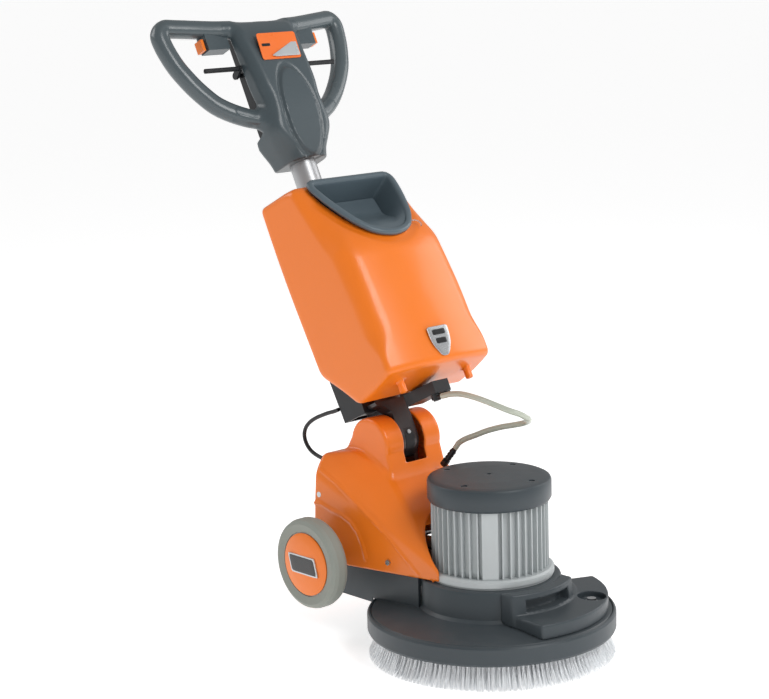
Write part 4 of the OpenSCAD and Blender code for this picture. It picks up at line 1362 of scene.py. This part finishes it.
@dataclass
class Tray:
    """Filling tray: a rounded rim with a deep basin that rises towards the front."""

    wall: float = 2.4
    depth: float = 44.0
    corner: float = 24.0
    points: int = 120
    rings_down: int = 12
    rings_in: int = 8
    inset: float = 8.6
    taper: float = 0.16
    sag: float = 1.5

    CORNERS = [(-107, 2), (-103, -40), (-86, -92), (-56, -142), (-24, -160), (24, -160), (56, -142),
               (86, -92), (103, -40), (107, 2)]
    RIM = ((-0.4, 0.4), (0.0, 3.6), (-0.9, 5.6), (-2.6, 6.5), (-6.4, 6.5), (-7.8, 5.6), (-8.6, 2.0))
    LIP = 2.0
    DEEPEST = (0.0, -34.0)

    def outline(self, grow: float) -> Array:
        """Rim's outline, a wide D, moved square to itself.

        Args:
            grow: how far it is moved outwards, in millimetres.

        Returns:
            Points of shape (points, 2).
        """
        ring = round_outline(self.CORNERS, self.corner, self.points)
        along = unit(np.roll(ring, -1, axis=0) - np.roll(ring, 1, axis=0))
        return ring + grow * np.stack([along[:, 1], -along[:, 0]], axis=-1)

    def shallow(self, flat: Array) -> Array:
        """Share of the full depth at each point: 1, easing to a tenth at the front."""
        return 1.0 - 0.9 * smooth((-flat[:, 1] - 48.0) / 84.0)

    def build(self, shop: Workshop) -> None:
        """Run rings from the rim's outer foot over its round top and down the basin to its floor.

        Args:
            shop: holds the materials and fits each piece.
        """
        n = self.points
        rings = [np.concatenate([self.outline(g), np.full((n, 1), w)], axis=1) for g, w in self.RIM]
        deep = np.array(self.DEEPEST)
        mouth = self.outline(-self.inset) - deep
        full = self.depth + self.LIP
        for t in np.linspace(0.0, 1.0, self.rings_down)[1:]:
            flat = deep + mouth * (1.0 - self.taper * t)
            down = self.LIP - full * t * self.shallow(flat)
            rings.append(np.concatenate([flat, down[:, None]], axis=1))
        for t in np.linspace(0.0, 1.0, self.rings_in)[1:-1]:
            flat = deep + mouth * (1.0 - self.taper) * (1.0 - t)
            down = self.LIP - full * self.shallow(flat) - self.sag * smooth(t * 3)
            rings.append(np.concatenate([flat, down[:, None]], axis=1))
        grid = tray_to_row(np.stack(rings))
        rows = len(rings)
        points = np.vstack([grid.reshape(-1, 3), grid[-1].mean(axis=0)[None]])
        last = np.arange(n) + (rows - 1) * n
        faces = [grid_faces(rows, n, True)[:, ::-1], fan_faces(last, rows * n, True)]
        tray = mesh_piece("filling_tray", points, faces, shop.materials["tray_plastic"], 50.0,
                          outwards=False)
        thicken(tray, self.wall)
        shop.fit(tray, "tray_plastic", "tray", "tray_lid")


@dataclass
class Head:
    """Control head: a tapering rounded cover with a raised oval, and two loop grips."""

    step: float = 2.6
    foot: float = 543.0
    top: float = 831.0
    crown: float = 9.0
    bevel: float = 9.0
    taper_from: float = 560.0
    taper_over: float = 70.0
    grip_r: float = 16.5
    grip_x: float = 210.0
    grip_y: float = 22.0
    grip_z: float = 826.0
    grip_fit: float = 0.6
    oval_half: float = 37.0
    oval_rise: float = 86.0
    oval_z: float = 634.0
    oval_relief: float = 3.6
    groove: float = 2.0
    label_half: float = 46.0
    label_rise: float = 25.0
    label_z: float = 765.0
    label_depth: float = 1.2
    label_slope: float = 3.0

    BOX = ((-136, -62, 536), (136, 46, 846))
    FRONT = [(543, -40), (570, -42), (600, -44), (640, -48), (690, -47), (742, -41), (790, -33), (812, -26),
             (831, -14)]
    BACK = [(543, 38), (590, 38), (603, 32), (612, 0), (831, 0)]
    HALF = [(543, 45), (560, 50), (580, 60), (600, 68), (620, 69), (645, 66), (668, 65), (700, 69),
            (760, 72), (831, 77)]
    LOWER_ARM = [(112, 6, 656), (88, 0, 643), (54, -6, 632), (20, -12, 622)]
    UPPER_ARM = [(84, 3, 821), (66, 0, 820), (30, 0, 812)]
    PRINTS = (
        ("label_corner", [(-30, -22), (43, -22), (43, 9), (38, 9)], "label_silver"),
        ("label_block", [(-40, 0), (-20, 0), (-20, 19), (-40, 19)], "badge_black"),
    )

    def field(self, p: Array) -> Array:
        """Outer surface: front, back and flanks as functions of height, joined round, plus the relief.

        Args:
            p: points of the handle frame, in millimetres.

        Returns:
            Field of the cover, negative inside, a little less than the distance.
        """
        x, y, z = np.abs(p[..., 0]), p[..., 1], p[..., 2]
        front, half = flow(z, self.FRONT), flow(z, self.HALF)
        back = np.interp(z, *zip(*self.BACK))
        taper = smooth((z - self.taper_from) / self.taper_over)
        edge = 30.0 - 23.0 * taper
        bevel = (x - half + front - y) / math.sqrt(2.0) + self.bevel * taper
        shell = round_and(round_and(front - y, bevel, edge * 0.6), x - half, edge)
        shell = round_and(shell, y - back, np.minimum(edge, 12.0))
        cap = z - self.top + self.crown * (x / 76.0) ** 2
        shell = round_and(round_and(shell, cap, 8.0), self.foot - z, 3.0)
        for line, valley in ((self.LOWER_ARM, 16.0), (self.UPPER_ARM, 7.0)):
            arm = near_polyline(mirrored(p), line) - self.grip_r - self.grip_fit
            shell = round_or(shell, arm, valley)
        oval = np.hypot(x / self.oval_half, (z - self.oval_z) / self.oval_rise)
        label = np.maximum(x - self.label_half, np.abs(z - self.label_z) - self.label_rise)
        frontal = smooth((-y - 18.0) / 10.0)
        relief = self.oval_relief * smooth((1.04 - oval) / 0.09) - self.groove * band(oval, 1.1, 0.11)
        relief = relief - self.label_depth * smooth(0.5 - label / 2.0)
        return (shell - relief * frontal) * 0.8

    def grips(self, shop: Workshop) -> None:
        """Carry a flattened round section along each grip's curve.

        Args:
            shop: holds the materials and fits each piece.
        """
        x, y, z = self.grip_x, self.grip_y, self.grip_z
        route = catmull([
            (66, 0, z - 6), (100, 6, z - 2), (140, 12, z + 4), (178, 18, z + 10), (198, 21, z + 12),
            (x, y, z), (x - 1, y, z - 22), (x - 6, 21, z - 45), (x - 13, 20, z - 66), (x - 22, 18, z - 86),
            (x - 34, 17, z - 106), (x - 49, 16, z - 126), (x - 68, 14, z - 147), (x - 92, 8, z - 166),
            (x - 122, 0, z - 183), (54, -6, z - 194)], 7)
        tube = sweep(even(route, 96), self.grip_r, np.array([0.0, 1.0, 0.0]), 28, 2.5)
        for side, sign in (member.value for member in Side):
            rings = arm_to_row(tube * [sign, 1.0, 1.0])
            grip = skin(f"grip_loop_{side}", rings, shop.materials["grip_plastic"])
            shop.fit(grip, "grip_plastic", "handle", f"grip_{side}")

    def label(self, shop: Workshop) -> None:
        """Lay a silver corner and a plain dark block on the orange film.

        Args:
            shop: holds the materials and fits each piece.
        """
        low, high = arm_box("label")
        middle, slope = (low + high) / 2, math.radians(self.label_slope)

        def place(p: Array) -> Array:
            """Set the film's plane, which leans back a little with the cover's front."""
            y = middle[1] - p[..., 2] + p[..., 1] * math.sin(slope)
            return arm_to_row(np.stack([p[..., 0], y, middle[2] + p[..., 1]], axis=-1))

        face = (high[1] - low[1]) / 2 - 24.0 * math.sin(slope)
        for name, corners, finish in self.PRINTS:
            piece = pad(name, round_outline(corners, 1.5, 48), place, face - 0.4, face + 0.5, 0.15,
                        shop.materials[finish])
            shop.fit(piece, finish, "handle")

    def build(self, shop: Workshop) -> None:
        """Mesh the cover, then its grips and label.

        Args:
            shop: holds the materials and fits each piece.
        """
        shop.mould("head_shell", self.field, self.BOX, self.step, arm_to_row, "head_plastic", "handle",
                   "head_cover")
        self.grips(shop)
        self.label(shop)


@dataclass(frozen=True)
class Lead:
    """A cable or hose between the base and the handle, along its own curve."""

    name: str
    node: str
    finish: str
    diameter: float
    stiffness: str
    route: list[tuple[float, float, float]]

    SIDE = (0.23, 0.11, 0.97)

    def build(self, shop: Workshop) -> None:
        """Args:
            shop: holds the materials.
        """
        path = base_to_row(catmull(self.route, 2))
        fine = base_to_row(catmull(self.route, 6))
        tube = sweep(fine, self.diameter * MM / 2, np.array(self.SIDE), 20)
        piece = skin(self.name, tube, shop.materials[self.finish])
        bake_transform(piece)
        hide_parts(self.node)
        LOG.info("%s: %.3f m along its curve", self.name, length_of(fine))


MOTOR_CABLE = Lead("motor_lead", "motor_cable", "cable_rubber", 7.5, "medium", [
    (-60, 326.2, 396.9), (-60, 340.1, 391.2), (-60, 356, 386), (-60, 374, 379), (-60, 392, 371),
    (-60, 409, 361), (-60, 422, 348), (-60, 427, 333), (-60, 422, 318), (-60, 409, 306), (-60, 390, 299),
    (-60, 368, 296), (-60, 346, 296), (-60, 330, 296)])

WATER_HOSE = Lead("water_line", "water_hose", "hose_vinyl", 10.4, "medium", [
    (-10, 103.0, 446.0), (-10.5, 97.2, 447.7), (-12, 79.0, 453.1), (-16, 50, 458), (-21, 15, 459),
    (-25, -20, 457), (-26, -50, 453), (-20, -72, 447), (-6, -84, 440), (12, -83, 430), (28, -71, 421),
    (39, -50, 412), (45, -21, 403), (48, 15, 393), (48, 50, 381), (47, 80, 368), (45, 103, 358),
    (43.92, 118.09, 348.76), (43.46, 122.54, 343.38), (43, 127, 338)])


# ---------------------------------------------------------------- studio


@dataclass
class Studio:
    """Pale floor, soft light and the camera."""

    azimuth: float = -42.09
    elevation: float = 11.05
    roll: float = -1.57
    target: tuple[float, float, float] = (0.0, 0.05482, 0.508)
    distance: float = 3.813
    lens: float = 98.07
    sensor: float = 36.0
    floor_half: float = 45.0
    floor_glow: float = 0.56
    sky_light: float = 0.42
    sky_seen: float = 0.62

    LIGHTS = (("key", (0.2, -2.7, 2.9), 1.6, 58.0), ("fill", (3.0, -0.9, 1.7), 1.8, 26.0),
              ("back", (-1.6, 2.4, 2.2), 1.6, 22.0))
    WHITE = (1.0, 1.0, 1.0, 1.0)

    @staticmethod
    def hang(name: str, data: bpy.types.ID, x: Array, y: Array, back: Array,
             where: Array) -> bpy.types.Object:
        """Place a camera or a light that looks against its third axis.

        Args:
            name: name of the object.
            data: the camera or the light.
            x: its first axis.
            y: its second axis.
            back: its third axis.
            where: its place.

        Returns:
            The new object.
        """
        item = bpy.data.objects.new(name, data)
        bpy.context.scene.collection.objects.link(item)
        matrix = np.eye(4)
        matrix[:3] = np.column_stack([x, y, back, where])
        item.matrix_world = Matrix(matrix.tolist())
        return item

    def camera(self) -> None:
        """Set the camera on a sphere round its target, turned by its roll about its own axis."""
        az, el, roll = (math.radians(v) for v in (self.azimuth, self.elevation, self.roll))
        back = np.array([math.sin(az) * math.cos(el), -math.cos(az) * math.cos(el), math.sin(el)])
        right = np.array([math.cos(az), math.sin(az), 0.0])
        up = np.cross(back, right)
        x = math.cos(roll) * right + math.sin(roll) * up
        y = -math.sin(roll) * right + math.cos(roll) * up
        data = bpy.data.cameras.new("camera")
        data.lens, data.sensor_width = self.lens, self.sensor
        data.clip_end = 120.0
        where = np.array(self.target) + self.distance * back
        bpy.context.scene.camera = self.hang("camera", data, x, y, back, where)

    def light(self, name: str, where: tuple, size: float, power: float) -> None:
        """Hang a square soft light that faces the machine's middle.

        Args:
            name: name of the light.
            where: its place, in metres.
            size: length of its side, in metres.
            power: its power, in watts.
        """
        data = bpy.data.lights.new(name, "AREA")
        data.size, data.energy = size, power
        back = unit(np.array(where) - np.array(self.target))
        x = unit(np.cross([0.0, 0.0, 1.0], back))
        self.hang(name, data, x, np.cross(back, x), back, where)

    def build(self, shop: Workshop) -> None:
        """Set up the camera, the lights, the white surroundings and the floor.

        Args:
            shop: holds the materials.
        """
        self.camera()
        for lamp in self.LIGHTS:
            self.light(*lamp)
        world = bpy.data.worlds.new("studio")
        bpy.context.scene.world = world
        world.use_nodes = True
        tree = world.node_tree
        seen = tree.nodes.new("ShaderNodeLightPath")
        strength = math_node(tree, "MULTIPLY_ADD", seen.outputs["Is Camera Ray"], self.sky_seen)
        strength.node.inputs[2].default_value = self.sky_light
        tree.links.new(strength, tree.nodes["Background"].inputs["Strength"])
        tree.nodes["Background"].inputs["Color"].default_value = self.WHITE
        bpy.context.scene.view_settings.view_transform = "Standard"
        side = np.array([[-1.0, -1.0, 0.0], [1.0, -1.0, 0.0], [1.0, 1.0, 0.0], [-1.0, 1.0, 0.0]])
        side *= self.floor_half
        floor = mesh_piece("floor", side, [np.array([[0, 1, 2, 3]])], shop.materials["floor_paint"],
                           outwards=False)
        shader = shop.materials["floor_paint"].node_tree.nodes["Principled BSDF"]
        shader.inputs["Emission Color"].default_value = self.WHITE
        shader.inputs["Emission Strength"].default_value = self.floor_glow


def main() -> None:
    """Build the studio and the leads, then each sub-assembly in turn."""
    logging.basicConfig(level=logging.INFO, format="%(name)s %(message)s")
    shop = Workshop.open()
    Studio().build(shop)
    for lead in (MOTOR_CABLE, WATER_HOSE):
        lead.build(shop)
    shop.dress_nodes()
    for part in (BaseCover(), FrontBlock(), BrushRing(), WheelTrim(), Tank(), Tray(), Head()):
        part.build(shop)


if __name__ == "__main__":
    main()
